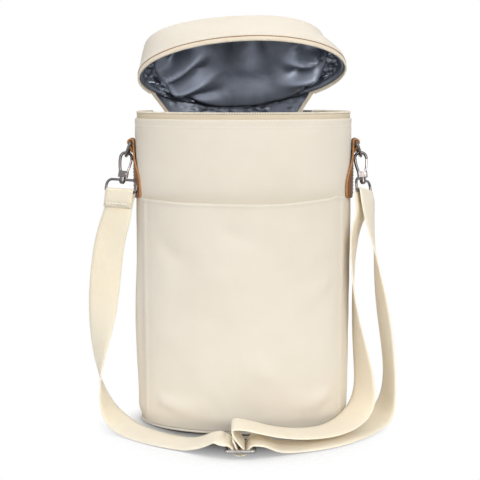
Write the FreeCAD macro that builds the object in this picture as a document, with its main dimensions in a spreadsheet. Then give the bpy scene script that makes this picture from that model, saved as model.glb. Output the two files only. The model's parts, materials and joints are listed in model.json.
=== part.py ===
"""Insulated two-bottle carrier: an oval canvas tote with a zipped soft lid, a front slip pocket,
leather side tabs and a clip-on webbing strap that lies in front of it.

Frame: +Z up, +X to the right, +Y to the back, millimetres, origin at the middle of the base on the floor.
The lid is modelled shut and then turned up to the half-open angle at which it stands.
Each clip is modelled hanging straight down from its leather loop and then leaned and turned.
"""
import FreeCAD, Part
import Sketcher
import math
import os
import re

Vector = FreeCAD.Vector
Rotation = FreeCAD.Rotation
Placement = FreeCAD.Placement
UP = Vector(0, 0, 1)
ACROSS = Vector(1, 0, 0)
BACK = Vector(0, 1, 0)

# Driving sizes in millimetres, angles in degrees

SIZES = {
    # oval body: canvas outside, foam, lining inside
    "body_half_width": 107, "body_half_depth": 56, "body_height": 308,
    "canvas_thick": 1.6, "foam_thick": 4.5, "lining_thick": 0.8, "layer_gap": 0.2,
    "floor_canvas_thick": 1.8, "board_thick": 2.5, "floor_foam_thick": 4,
    "piping_proud": 3.0, "piping_rise": 3.6, "binding_rise": 3,
    "divider_thick": 4, "divider_height": 220, "divider_corner": 12,
    # zip: tape, coil and the plain stretch at the back where the lid folds
    "tape_thick": 1.2, "tape_rise": 5, "tape_sewn": 9, "coil_rise": 2, "coil_proud": 0.5,
    "hinge_half_span": 70, "hinge_shift": -10, "coil_half_span": 82, "hinge_depth": 55.4, "hinge_skew": 5,
    "slider_offset": 66, "slider_length": 9, "slider_drop": 4.6, "slider_wall": 1.2, "slider_clear": 0.3,
    "ear_reach": 2.6, "ear_thick": 1.2, "pull_pin_radius": 0.8, "pull_eye_radius": 1.7,
    "pull_length": 24, "pull_width": 5, "pull_thick": 1.4,
    # lid
    "lid_inset": 3.2, "lid_gap": 0.4, "lid_tape_rise": 4, "lid_band_rise": 35, "lid_rest_angle": 38,
    "lid_band_foam_thick": 3.5, "lid_foam_thick": 4.2,
    # front pocket
    "pocket_half_width": 98, "pocket_drop": 78, "pocket_gap": 0.3, "pocket_bulge": 8, "pocket_thick": 1.4,
    "hem_rise": 12, "hem_thick": 1.0,
    # leather tabs
    "tab_width": 18, "leather_thick": 1.8, "tab_drop": 78, "loop_drop": 23.5, "loop_clear": 0.35,
    "tab_gap": 0.3, "tab_join_drop": 8, "tab_lap": 2.5, "tab_crown_angle": 65, "tab_leave_angle": 50,
    # ring, snap hook and swivelling strap loop
    "ring_wire_radius": 1.5, "ring_half_width": 12.2, "ring_depth": 15, "ring_corner": 2.5, "ring_lean": 20.5,
    "hook_wire_radius": 1.5, "hook_half_width": 5.6, "hook_rise": 13.5, "hook_arm_radius": 44,
    "hook_nose_angle": 12, "hook_clear": 0.4, "hook_lean_left": 9, "hook_lean_right": 5, "hook_tip": 16,
    "hub_half_width": 4.9, "hub_half_depth": 2.8, "hub_rise": 6.2, "hub_corner": 1.2,
    "gate_pivot_offset": 2.7, "gate_pivot_height": 3.4, "gate_half_width": 1.3, "gate_eye_radius": 1.9,
    "gate_pin_radius": 0.8, "gate_side_clear": 0.25, "gate_wire_radius": 1.15, "gate_tip_gap": 0.4,
    "pin_clear": 0.05, "spring_leaf": 0.3, "spring_rise": 4.5,
    "swivel_pin_radius": 1.8, "swivel_head_radius": 2.9, "swivel_head_rise": 1.6, "swivel_gap": 0.3,
    "barrel_radius": 3.1, "barrel_rise": 4.4,
    "loop_wire_radius": 1.3, "loop_half_width": 17.8, "loop_depth": 12, "loop_top_corner": 6,
    "loop_foot_corner": 2.4, "loop_turn_left": -28, "loop_turn_right": 62,
    # webbing and its three-bar slider
    "strap_width": 32, "strap_thick": 1.8, "strap_clear": 0.3, "fold_leg": 16, "fold_half_gap": 0.1,
    "turn_leg": 9, "turn_half_gap": 2.2,
    "slider_x": -3, "slider_y": -98, "slider_z": 6.6, "slider_bar_radius": 1.8, "slider_half_length": 13,
    "slider_corner": 3, "wrap_leg": 12, "wrap_angle": 30, "strap_hump": 2.2,
    # cuts pass their target by this much
    "overrun": 5,
}

doc = FreeCAD.newDocument("bottle_carrier")
sheet = doc.addObject("Spreadsheet::Sheet", "Sizes")
for row, (alias, number) in enumerate(SIZES.items(), start=1):
    sheet.set("A%d" % row, alias)
    sheet.set("B%d" % row, str(number))
    sheet.setAlias("B%d" % row, alias)
doc.recompute()

size = {alias: float(sheet.get(alias)) for alias in SIZES}
alias_pattern = re.compile(r"\b(%s)\b" % "|".join(sorted(SIZES, key=len, reverse=True)))
nodes = {}


def sized(text):
    """An expression on the sheet's cells from a sum written with the plain size names."""
    return alias_pattern.sub(r"Sizes.\1", text)


def bind(thing, **sums):
    """Bind properties of a document object to sums of named sizes."""
    for name, text in sums.items():
        thing.setExpression(name.replace("__", "."), sized(text))
    return thing


def keep(label, thing, placement=None):
    """Take a finished document object as the sub-part called label."""
    thing.Label = label
    if placement is not None:
        thing.Placement = placement
    nodes[label] = thing
    return thing


# Primitives and booleans


def primitive(kind, name, place=None, turn=None, **sums):
    thing = bind(doc.addObject("Part::" + kind, name), **sums)
    rotation = turn if turn is not None else Rotation()
    thing.Placement = Placement(Vector(), rotation)
    for axis, text in zip("xyz", place or ()):
        bind(thing, **{"Placement__Base__" + axis: text})
    return thing


def cut(name, base, tool):
    result = doc.addObject("Part::Cut", name)
    result.Base, result.Tool = base, tool
    return result


def common(name, base, tool):
    result = doc.addObject("Part::Common", name)
    result.Base, result.Tool = base, tool
    return result


def fuse(name, *pieces):
    result = doc.addObject("Part::MultiFuse", name)
    result.Shapes = list(pieces)
    return result


def oval_prism(name, half_width, half_depth, bottom, height):
    outline = primitive("Ellipse", name + "_outline", ("0", "0", bottom),
                        MajorRadius=half_width, MinorRadius=half_depth)
    prism = doc.addObject("Part::Extrusion", name)
    prism.Base = outline
    prism.DirMode = "Custom"
    prism.Dir = UP
    prism.Solid = True
    return bind(prism, LengthFwd=height)


def body_oval(name, inset, bottom, height):
    """An oval that follows the body's outside, drawn in by inset."""
    half_width, half_depth = "body_half_width - (%s)" % inset, "body_half_depth - (%s)" % inset
    return oval_prism(name, half_width, half_depth, bottom, height)


def body_ring(name, outer_inset, inner_inset, bottom, height):
    outside = body_oval(name + "_outside", outer_inset, bottom, height)
    low, rise = "(%s) - overrun" % bottom, "(%s) + 2 * overrun" % height
    inside = body_oval(name + "_inside", inner_inset, low, rise)
    return cut(name, outside, inside)


def back_gap(name, half_span):
    """A block that clears the back of a ring for half_span either side of the hinge's middle."""
    return primitive("Box", name, ("hinge_shift - (%s)" % half_span, "0", "0"), Length="2 * (%s)" % half_span,
                     Width="body_half_depth + overrun", Height="2 * body_height")


# Sketched profiles, drawn in the X-Z plane and padded evenly to both sides


def profile_body(name, outline, width, holes=()):
    """A body padded from a closed outline of (point, point) lines and (point, middle, point) arcs."""
    body = doc.addObject("PartDesign::Body", name)
    sketch = body.newObject("Sketcher::SketchObject", name + "_sketch")
    plane = [p for p in body.Origin.OriginFeatures if p.Role == "XZ_Plane"][0]
    sketch.AttachmentSupport = [(plane, "")]
    sketch.MapMode = "FlatFace"
    for points in outline:
        ends = [Vector(u, v, 0) for u, v in points]
        curve = Part.LineSegment(*ends) if len(ends) == 2 else Part.Arc(*ends)
        sketch.addGeometry(curve, False)
    for (u, v), radius in holes:
        circle = sketch.addGeometry(Part.Circle(Vector(u, v, 0), UP, size["overrun"]), False)
        index = sketch.addConstraint(Sketcher.Constraint("Radius", circle, size["overrun"]))
        sketch.setExpression("Constraints[%d]" % index, sized(radius))
    pad = body.newObject("PartDesign::Pad", name + "_pad")
    pad.Profile = sketch
    pad.SideType = "Symmetric"
    bind(pad, Length=width)
    return body


def chain(points):
    """Straight lines through the points, one after another."""
    return list(zip(points[:-1], points[1:]))


# Levels, as sums of named sizes

RIM = "body_height + tape_rise + coil_rise"
FOAM_TOP = "body_height - tape_sewn - layer_gap"
TAPE_FOOT = "body_height - tape_sewn"
LID_FOOT = RIM + " + lid_gap"
LID_TAPE_TOP = LID_FOOT + " + coil_rise + lid_tape_rise"
LID_BAND_TOP = LID_TAPE_TOP + " + lid_band_rise"
FLOOR_FOAM_FOOT = "floor_canvas_thick + board_thick + 2 * layer_gap"
LINING_FOOT = FLOOR_FOAM_FOOT + " + floor_foam_thick + layer_gap"

# Insets of the layers from the body's outside

TAPE_OUT = "canvas_thick + layer_gap"
TAPE_IN = TAPE_OUT + " + tape_thick"
FOAM_IN = TAPE_OUT + " + foam_thick"
LINING_OUT = FOAM_IN + " + layer_gap"
LINING_IN = LINING_OUT + " + lining_thick"

# Base, walls and lining

keep("base_panel", body_oval("BasePanel", "layer_gap", "0", "floor_canvas_thick"))
keep("body_shell", body_ring("Shell", "0", "canvas_thick", "floor_canvas_thick",
                             "body_height - floor_canvas_thick"))
keep("wall_foam", body_ring("WallFoam", TAPE_OUT, FOAM_IN, "floor_canvas_thick + layer_gap",
                            FOAM_TOP + " - floor_canvas_thick - layer_gap"))
keep("base_board", body_oval("BaseBoard", LINING_OUT, "floor_canvas_thick + layer_gap", "board_thick"))
keep("base_foam", body_oval("BaseFoam", LINING_OUT, FLOOR_FOAM_FOOT, "floor_foam_thick"))
keep("lining_wall", body_ring("LiningWall", LINING_OUT, LINING_IN, LINING_FOOT,
                              FOAM_TOP + " - (%s)" % LINING_FOOT))
keep("lining_floor", body_oval("LiningFloor", LINING_IN + " + layer_gap", LINING_FOOT, "lining_thick"))
keep("rim_binding", body_ring("RimBinding", TAPE_IN + " + layer_gap", LINING_IN, TAPE_FOOT, "binding_rise"))


def piping():
    """The welt round the base: a cord section that swells to its middle and draws in again."""
    sections = []
    for name, swell, level in (("low", "0", "0"), ("middle", "1", "1 / 2"), ("high", "0", "1")):
        reach = "piping_proud * (1 + %s) / 2" % swell
        place = ("0", "0", "layer_gap + piping_rise * " + level)
        sections.append(primitive("Ellipse", "Piping_" + name, place,
                                  MajorRadius="body_half_width + " + reach,
                                  MinorRadius="body_half_depth + " + reach))
    cord = doc.addObject("Part::Loft", "PipingCord")
    cord.Sections = sections
    cord.Solid = True
    cord.Ruled = True
    inside = body_oval("PipingInside", "-layer_gap", "-overrun", "piping_rise + 2 * overrun")
    return cut("Piping", cord, inside)


keep("base_piping", piping())


def divider():
    half = size["body_half_depth"] - size["canvas_thick"] - size["foam_thick"] - size["lining_thick"]
    half -= 4 * size["layer_gap"]
    corner = size["divider_corner"]
    foot = size["floor_canvas_thick"] + size["board_thick"] + size["floor_foam_thick"] + size["lining_thick"]
    foot += 4 * size["layer_gap"]
    top = foot + size["divider_height"]
    bend = corner * (1 - math.sqrt(1 / 2))
    outline = chain([(-half, top - corner), (-half, foot), (half, foot), (half, top - corner)])
    outline += [((half, top - corner), (half - bend, top - bend), (half - corner, top))]
    outline += chain([(half - corner, top), (corner - half, top)])
    outline += [((corner - half, top), (bend - half, top - bend), (-half, top - corner))]
    body = profile_body("Divider", outline, "divider_thick")
    return keep("bottle_divider", body, Placement(Vector(), Rotation(UP, 90)))


divider()

# Zip on the body

body_tape = body_ring("BodyTapeRing", TAPE_OUT, TAPE_IN, TAPE_FOOT, "tape_sewn + tape_rise")
keep("rim_zip_tape", cut("BodyTape", body_tape, back_gap("BodyTapeGap", "hinge_half_span + layer_gap")))
body_coil = body_ring("BodyCoilRing", TAPE_OUT + " - coil_proud", TAPE_IN + " + coil_proud",
                      "body_height + tape_rise", "coil_rise")
keep("rim_zip_coil", cut("BodyCoil", body_coil, back_gap("BodyCoilGap", "coil_half_span")))


def zip_slider():
    """The slider parked at the back of the zip: a saddle on the tape's edge with two ears and their pin."""
    half_gap = size["tape_thick"] / 2 + size["slider_clear"]
    half_out = half_gap + size["slider_wall"]
    edge = size["slider_clear"]
    top = edge + size["slider_wall"]
    foot = -size["slider_drop"]
    saddle = profile_body("ZipSaddle", chain([
        (-half_out, foot), (-half_gap, foot), (-half_gap, edge), (half_gap, edge), (half_gap, foot),
        (half_out, foot), (half_out, top), (-half_out, top), (-half_out, foot)]), "slider_length")
    half_depth = size["body_half_depth"] - size["canvas_thick"] - size["layer_gap"] - size["tape_thick"] / 2
    half_width = half_depth + size["body_half_width"] - size["body_half_depth"]
    x = size["slider_offset"]
    y = half_depth * math.sqrt(1 - (x / half_width) ** 2)
    facing = math.degrees(math.atan2(y / half_depth ** 2, x / half_width ** 2))
    rim = size["body_height"] + size["tape_rise"]
    here = Placement(Vector(x, y, rim), Rotation(UP, facing))
    face = "tape_thick / 2 + slider_clear + slider_wall"
    ears = []
    for name, side in (("near", "-1"), ("far", "1")):
        centre = "%s * (pull_width + ear_thick + 2 * slider_clear) / 2 - ear_thick / 2" % side
        ears.append(primitive("Box", "ZipEar_" + name, (face, centre, "-slider_drop"), Width="ear_thick",
                              Length="ear_reach + pull_pin_radius", Height="2 * pull_eye_radius"))
    pin_start = (face + " + ear_reach", "-pull_width / 2 - slider_clear - ear_thick",
                 "pull_eye_radius - slider_drop")
    pin = primitive("Cylinder", "ZipPin", pin_start, Rotation(ACROSS, -90),
                    Radius="pull_pin_radius", Height="pull_width + 2 * slider_clear + 2 * ear_thick")
    keep("zip_slider", fuse("ZipSlider", saddle, pin, *ears), here)
    reach = half_out + size["ear_reach"]
    level = size["pull_eye_radius"] - size["slider_drop"]
    eye = size["pull_eye_radius"]
    half_thick = size["pull_thick"] / 2
    shoulder = -math.sqrt(eye ** 2 - half_thick ** 2)
    tail = -size["pull_length"]
    outline = [((-half_thick, shoulder), (0, eye), (half_thick, shoulder))]
    outline += chain([(half_thick, shoulder), (half_thick, tail), (-half_thick, tail),
                      (-half_thick, shoulder)])
    pull = profile_body("ZipPull", outline, "pull_width", [((0, 0), "pull_pin_radius + pin_clear")])
    keep("zip_pull", pull, here * Placement(Vector(reach, 0, level), Rotation()))


zip_slider()

# Lid, drawn shut and turned up about the fold line at the back


def lid_inset(inset):
    return "lid_inset + " + inset


LID_TAPE_OUT = lid_inset("layer_gap")
LID_TAPE_IN = lid_inset("layer_gap + tape_thick")
LID_FOAM_OUT = lid_inset("canvas_thick + layer_gap")
LID_FOAM_IN = LID_FOAM_OUT + " + lid_band_foam_thick"
LID_LINING_OUT = LID_FOAM_IN + " + layer_gap"
LID_LINING_IN = LID_LINING_OUT + " + lining_thick"
LID_FOAM_FOOT = LID_BAND_TOP + " - lid_foam_thick"

rim_level = size["body_height"] + size["tape_rise"] + size["coil_rise"]
hinge_level = rim_level + size["lid_gap"] / 2
hinge_point = Vector(0, size["hinge_depth"], hinge_level)
# the soft lid folds along a line that runs a little askew, so it stands higher on its right
fold_line = Rotation(UP, size["hinge_skew"]).multVec(ACROSS)
lid_turn = Placement(Vector(), Rotation(fold_line, -size["lid_rest_angle"]), hinge_point)

lid_coil = body_ring("LidCoilRing", LID_TAPE_OUT + " - coil_proud", LID_TAPE_IN + " + coil_proud",
                     LID_FOOT, "coil_rise")
keep("lid_zip_coil", cut("LidCoil", lid_coil, back_gap("LidCoilGap", "coil_half_span")), lid_turn)
lid_tape = body_ring("LidTapeRing", LID_TAPE_OUT, LID_TAPE_IN, LID_FOOT + " + coil_rise", "lid_tape_rise")
lid_tape_gap = back_gap("LidTapeGap", "hinge_half_span + layer_gap")
keep("lid_zip_tape", cut("LidTape", lid_tape, lid_tape_gap), lid_turn)
keep("lid_band", body_ring("LidBand", lid_inset("0"), lid_inset("canvas_thick"), LID_TAPE_TOP,
                           "lid_band_rise"), lid_turn)
keep("lid_top_panel", body_oval("LidTop", lid_inset("0"), LID_BAND_TOP, "canvas_thick"), lid_turn)
keep("lid_band_foam", body_ring("LidBandFoam", LID_FOAM_OUT, LID_FOAM_IN, LID_TAPE_TOP + " + layer_gap",
                                "lid_band_rise - lid_foam_thick - 2 * layer_gap"), lid_turn)
keep("lid_foam", body_oval("LidFoam", LID_FOAM_OUT, LID_FOAM_FOOT, "lid_foam_thick - layer_gap"), lid_turn)
keep("lid_lining_panel", body_oval("LidLiningPanel", LID_LINING_OUT,
                                   LID_FOAM_FOOT + " - layer_gap - lining_thick", "lining_thick"), lid_turn)
keep("lid_lining_band", body_ring("LidLiningBand", LID_LINING_OUT, LID_LINING_IN, LID_TAPE_TOP,
                                  "lid_band_rise - lid_foam_thick - lining_thick - 2 * layer_gap"), lid_turn)
keep("lid_binding", body_ring("LidBinding", LID_TAPE_IN + " + layer_gap", LID_LINING_IN,
                              LID_TAPE_TOP + " - binding_rise", "binding_rise"), lid_turn)


def hinge_gusset():
    """The plain canvas piece between the two ends of the zip, bent where the lid folds."""
    inset = size["canvas_thick"] + size["layer_gap"]
    lid_in = size["lid_inset"] + size["layer_gap"]
    foot = size["body_height"] - size["tape_sewn"]
    bend = size["coil_rise"]
    lid_edge = rim_level + size["lid_gap"]
    lid_top = lid_edge + size["coil_rise"] + size["lid_tape_rise"] - size["layer_gap"]

    def wall(x, drawn_in):
        half_width = size["body_half_width"] - drawn_in
        half_depth = size["body_half_depth"] - drawn_in
        return half_depth * math.sqrt(1 - (x / half_width) ** 2)

    half_count = 9
    sections = []
    for station in range(-half_count, half_count + 1):
        x = size["hinge_shift"] + size["hinge_half_span"] * station / half_count
        outer, lid_outer = wall(x, inset), wall(x, lid_in)
        inner, lid_inner = outer - size["tape_thick"], lid_outer - size["tape_thick"]
        low = [Vector(x, outer, foot), Vector(x, outer, rim_level - bend)]
        high = [Vector(x, lid_outer, lid_edge + bend), Vector(x, lid_outer, lid_top),
                Vector(x, lid_inner, lid_top), Vector(x, lid_inner, lid_edge + bend)]
        back_low = [Vector(x, inner, rim_level - bend), Vector(x, inner, foot)]
        sections.append(low + [lid_turn.multVec(p) for p in high] + back_low)
    corners = len(sections[0])
    quads = []
    for near, far in zip(sections, sections[1:]):
        for here in range(corners):
            after = (here + 1) % corners
            quads.append((near[here], far[here], far[after], near[after]))
    for end, order in ((sections[0], 1), (sections[-1], -1)):
        for step in range(corners // 2 - 1):
            quads.append((end[step], end[step + 1], end[-2 - step], end[-1 - step])[::order])
    faces = []
    for a, b, c, d in quads:
        for triangle in ((a, b, c), (a, c, d)):
            faces.append(Part.Face(Part.makePolygon(triangle + triangle[:1])))
    gusset = doc.addObject("Part::Feature", "HingeGusset")
    solid = Part.makeSolid(Part.makeShell(faces))
    if solid.Volume < 0:
        solid.reverse()
    gusset.Shape = solid
    return keep("hinge_gusset", gusset)


hinge_gusset()

# Front pocket: flush at the base and the sides, swelling to its open top

POCKET_FOOT = "layer_gap + piping_rise + layer_gap"
POCKET_TOP = "body_height - pocket_drop"


def pocket_loft(name, proud):
    """A tapering oval, proud of the shell by the given sum, that swells forward at its top.
    Its width is drawn in there so that it still meets the shell at the pocket's side seams."""
    low = primitive("Ellipse", name + "_low", ("0", "0", POCKET_FOOT),
                    MajorRadius="body_half_width + " + proud, MinorRadius="body_half_depth + " + proud)
    side = "(1 - (pocket_half_width / (body_half_width + %s))^2)" % proud
    forward = "(body_half_depth + pocket_bulge + %s)" % proud
    squeeze = "(1 - %s * ((body_half_depth + %s) / %s)^2)" % (side, proud, forward)
    high = primitive("Ellipse", name + "_high", ("0", "0", POCKET_TOP),
                     MajorRadius="pocket_half_width / sqrt(%s)" % squeeze, MinorRadius=forward)
    loft = doc.addObject("Part::Loft", name)
    loft.Sections = [low, high]
    loft.Solid = True
    loft.Ruled = True
    return loft


def pocket_limit(name, bottom, height):
    return primitive("Box", name, ("-pocket_half_width", "-body_half_depth - pocket_bulge - overrun", bottom),
                     Length="2 * pocket_half_width", Width="body_half_depth + pocket_bulge", Height=height)


pocket_inside = pocket_loft("PocketInside", "pocket_gap")
pocket_outside = pocket_loft("PocketOutside", "(pocket_gap + pocket_thick)")
pocket_wall = cut("PocketWall", pocket_outside, pocket_inside)
keep("front_pocket", common("FrontPocket", pocket_wall, pocket_limit(
    "PocketLimit", POCKET_FOOT, "%s - (%s)" % (POCKET_TOP, POCKET_FOOT))))
hem_inside = pocket_loft("HemInside", "(pocket_gap + pocket_thick + layer_gap / 2)")
hem_outside = pocket_loft("HemOutside", "(pocket_gap + pocket_thick + layer_gap / 2 + hem_thick)")
keep("pocket_hem", common("PocketHem", cut("HemWall", hem_outside, hem_inside), pocket_limit(
    "HemLimit", POCKET_TOP + " - hem_rise", "hem_rise")))

# Leather tabs, each folded over the bar of its ring and sewn flat to the side

loop_radius = size["ring_wire_radius"] + size["loop_clear"] + size["leather_thick"]
loop_reach = size["tab_gap"] + loop_radius


def leather_tab(label, name, side):
    """A strip folded over the ring: its long end runs down the side, its short end stops under the loop."""
    flat, leather = size["tab_gap"], size["leather_thick"]
    foot, level = size["body_height"] - size["tab_drop"], size["body_height"] - size["loop_drop"]
    under = math.radians(-size["tab_leave_angle"])
    leave = (loop_reach + loop_radius * math.cos(under), level + loop_radius * math.sin(under))
    join = level - size["tab_join_drop"]
    lap = join - size["tab_lap"]
    outline = chain([(flat + leather, foot), (flat, foot), (flat, level)])
    over = math.radians(size["tab_crown_angle"])
    crown = (loop_reach + loop_radius * math.cos(over), level + loop_radius * math.sin(over))
    outline += [((flat, level), crown, leave)]
    outline += chain([leave, (flat + 2 * leather, join), (flat + 2 * leather, lap), (flat + leather, lap),
                      (flat + leather, foot)])
    body = profile_body(name, outline, "tab_width", [((loop_reach, level), "ring_wire_radius + loop_clear")])
    facing = Rotation(UP, 90 - 90 * side)
    keep(label, body, Placement(Vector(side * size["body_half_width"], 0, 0), facing))


leather_tab("left_tab", "LeftTab", -1)
leather_tab("right_tab", "RightTab", 1)

# Bent-wire loops: a rounded oblong in the X-Z plane whose top bar lies on the origin


def quarter(name, place, spin, radius, wire):
    """A quarter bend; spin 0 is the top right corner, and each -90 the next one anticlockwise."""
    turn = Rotation(BACK, spin) * Rotation(ACROSS, 90)
    return primitive("Torus", name, place, turn, Radius1=radius, Radius2=wire, Angle3="90")


def wire_loop(name, half_width, depth, top_corner, foot_corner, wire):
    across, along = Rotation(BACK, 90), Rotation()
    pieces = [
        primitive("Cylinder", name + "_top", ("%s - %s" % (top_corner, half_width), "0", "0"), across,
                  Radius=wire, Height="2 * (%s - %s)" % (half_width, top_corner)),
        quarter(name + "_top_right", ("%s - %s" % (half_width, top_corner), "0", "-(%s)" % top_corner), 0,
                top_corner, wire),
        quarter(name + "_top_left", ("%s - %s" % (top_corner, half_width), "0", "-(%s)" % top_corner), -90,
                top_corner, wire),
        quarter(name + "_foot_left", ("%s - %s" % (foot_corner, half_width), "0",
                                      "%s - %s" % (foot_corner, depth)), 180, foot_corner, wire),
        quarter(name + "_foot_right", ("%s - %s" % (half_width, foot_corner), "0",
                                       "%s - %s" % (foot_corner, depth)), 90, foot_corner, wire),
    ]
    for side, sign in (("left", "-"), ("right", "")):
        pieces.append(primitive("Cylinder", name + "_" + side, ("%s%s" % (sign, half_width), "0",
                                                                "%s - %s" % (foot_corner, depth)), along,
                                Radius=wire, Height="%s - %s - %s" % (depth, top_corner, foot_corner)))
    return pieces


def foot_bar(name, half_width, depth, foot_corner, wire):
    start = ("%s - %s" % (foot_corner, half_width), "0", "-(%s)" % depth)
    return primitive("Cylinder", name + "_foot", start, Rotation(BACK, 90), Radius=wire,
                     Height="2 * (%s - %s)" % (half_width, foot_corner))


# Heights along a clip, measured from the crossing of the ring's bow and the hook's bow

BOW = "(ring_wire_radius + hook_wire_radius + hook_clear)"
HUB_TOP = "-hook_half_width - hook_rise + %s" % BOW
HUB_FOOT = HUB_TOP + " - hub_rise"
BARREL_TOP = HUB_FOOT + " - swivel_gap"
BARREL_MIDDLE = BARREL_TOP + " - barrel_rise / 2"
RIVET_HEAD = BARREL_TOP + " - barrel_rise - swivel_gap"
bow_lift = size["ring_wire_radius"] + size["hook_wire_radius"] + size["hook_clear"]
hub_top = bow_lift - size["hook_half_width"] - size["hook_rise"]
barrel_middle = hub_top - size["hub_rise"] - size["swivel_gap"] - size["barrel_rise"] / 2
strap_bar = barrel_middle - size["loop_depth"]


def snap_hook(name):
    """The hook: a bow over the ring, one fixed arm, and a hub slotted for the gate."""
    half, crown = "hook_half_width", "(%s - hook_half_width)" % BOW
    upright = Rotation(ACROSS, 90)
    bow = primitive("Torus", name + "_bow", ("0", "0", crown),
                    Rotation(BACK, size["hook_nose_angle"]) * upright, Radius1=half,
                    Radius2="hook_wire_radius", Angle3="180 + hook_nose_angle")
    arm = primitive("Torus", name + "_arm", ("hook_arm_radius - hook_half_width", "0", crown),
                    Rotation(BACK, 180) * upright, Radius1="hook_arm_radius", Radius2="hook_wire_radius",
                    Angle3="asin((hook_rise + hub_corner) / hook_arm_radius)")
    hub = primitive("Box", name + "_hub", ("-hub_half_width", "-hub_half_depth", HUB_FOOT),
                    Length="2 * hub_half_width", Width="2 * hub_half_depth", Height="hub_rise")
    doc.recompute()
    rounded = doc.addObject("Part::Fillet", name + "_hub_rounded")
    rounded.Base = hub
    upright_edges = [number for number, edge in enumerate(hub.Shape.Edges, start=1)
                     if edge.BoundBox.ZLength > size["hub_rise"] / 2]
    rounded.Edges = [(number, size["hub_corner"], size["hub_corner"]) for number in upright_edges]
    slot_corner = ("gate_pivot_offset - gate_eye_radius - spring_leaf - 2 * pin_clear",
                   "-gate_half_width - gate_side_clear",
                   HUB_FOOT + " + gate_pivot_height - gate_eye_radius - gate_side_clear")
    slot = primitive("Box", name + "_slot", slot_corner,
                     Length="hub_half_width + overrun", Width="2 * (gate_half_width + gate_side_clear)",
                     Height="hub_rise + overrun")
    bore = primitive("Cylinder", name + "_bore", ("gate_pivot_offset", "hub_half_depth + overrun",
                                                  HUB_FOOT + " + gate_pivot_height"), upright,
                     Radius="gate_pin_radius", Height="2 * (hub_half_depth + overrun)")
    whole = fuse(name + "_whole", bow, arm, rounded)
    return cut(name, cut(name + "_slotted", whole, slot), bore)


def hook_gate(name):
    """The gate: a curved lever from the eye in the hub up to the hook's nose."""
    upright = Rotation(ACROSS, 90)
    crown = "(%s - hook_half_width)" % BOW
    drop = "(hook_half_width * sin(hook_nose_angle) + gate_tip_gap)"
    lowest = size["hook_rise"] + size["hub_rise"] - size["gate_pivot_height"]
    lever = primitive("Torus", name + "_lever", ("hook_half_width - hook_arm_radius", "0", crown),
                      Rotation(BACK, math.degrees(math.asin(lowest / size["hook_arm_radius"]))) * upright,
                      Radius1="hook_arm_radius", Radius2="gate_wire_radius",
                      Angle3="asin((hook_rise + hub_rise - gate_pivot_height) / hook_arm_radius)"
                             " - asin(%s / hook_arm_radius)" % drop)
    eye = primitive("Cylinder", name + "_eye", ("gate_pivot_offset", "gate_half_width",
                                                HUB_FOOT + " + gate_pivot_height"), upright,
                    Radius="gate_eye_radius", Height="2 * gate_half_width")
    bore = primitive("Cylinder", name + "_bore", ("gate_pivot_offset", "gate_half_width + overrun",
                                                  HUB_FOOT + " + gate_pivot_height"), upright,
                     Radius="gate_pin_radius + pin_clear", Height="2 * (gate_half_width + overrun)")
    return cut(name, fuse(name + "_whole", lever, eye), bore)


def swivel_rivet(name):
    pin = primitive("Cylinder", name + "_pin", ("0", "0", RIVET_HEAD), Radius="swivel_pin_radius",
                    Height="barrel_rise + 2 * swivel_gap")
    head = primitive("Cone", name + "_head", ("0", "0", RIVET_HEAD + " - swivel_head_rise"),
                     Radius1="swivel_pin_radius", Radius2="swivel_head_radius", Height="swivel_head_rise")
    return fuse(name, pin, head)


def strap_loop(name):
    """The wire loop that carries the webbing, with the barrel that turns on the hook's rivet."""
    pieces = wire_loop(name, "loop_half_width", "loop_depth", "loop_top_corner", "loop_foot_corner",
                       "loop_wire_radius")
    pieces.append(foot_bar(name, "loop_half_width", "loop_depth", "loop_foot_corner", "loop_wire_radius"))
    pieces.append(primitive("Cylinder", name + "_barrel", ("0", "0", "-barrel_rise / 2"),
                            Radius="barrel_radius", Height="barrel_rise"))
    bore = primitive("Cylinder", name + "_bore", ("0", "0", "-barrel_rise"),
                     Radius="swivel_pin_radius + pin_clear", Height="2 * barrel_rise")
    return cut(name, fuse(name + "_whole", *pieces), bore)


def webbing_fold(name, leg, half_gap, bar_radius):
    """Webbing laid over a bar along Y: a half turn with two legs that hang down to leg."""
    inner = bar_radius + size["strap_clear"]
    outer = inner + size["strap_thick"]
    far = half_gap + size["strap_thick"]
    outline = [((-outer, 0), (0, outer), (outer, 0))]
    outline += chain([(outer, 0), (far, -leg), (half_gap, -leg), (inner, 0)])
    outline += [((inner, 0), (0, inner), (-inner, 0))]
    outline += chain([(-inner, 0), (-half_gap, -leg), (-far, -leg), (-outer, 0)])
    return profile_body(name, outline, "strap_width")


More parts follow.
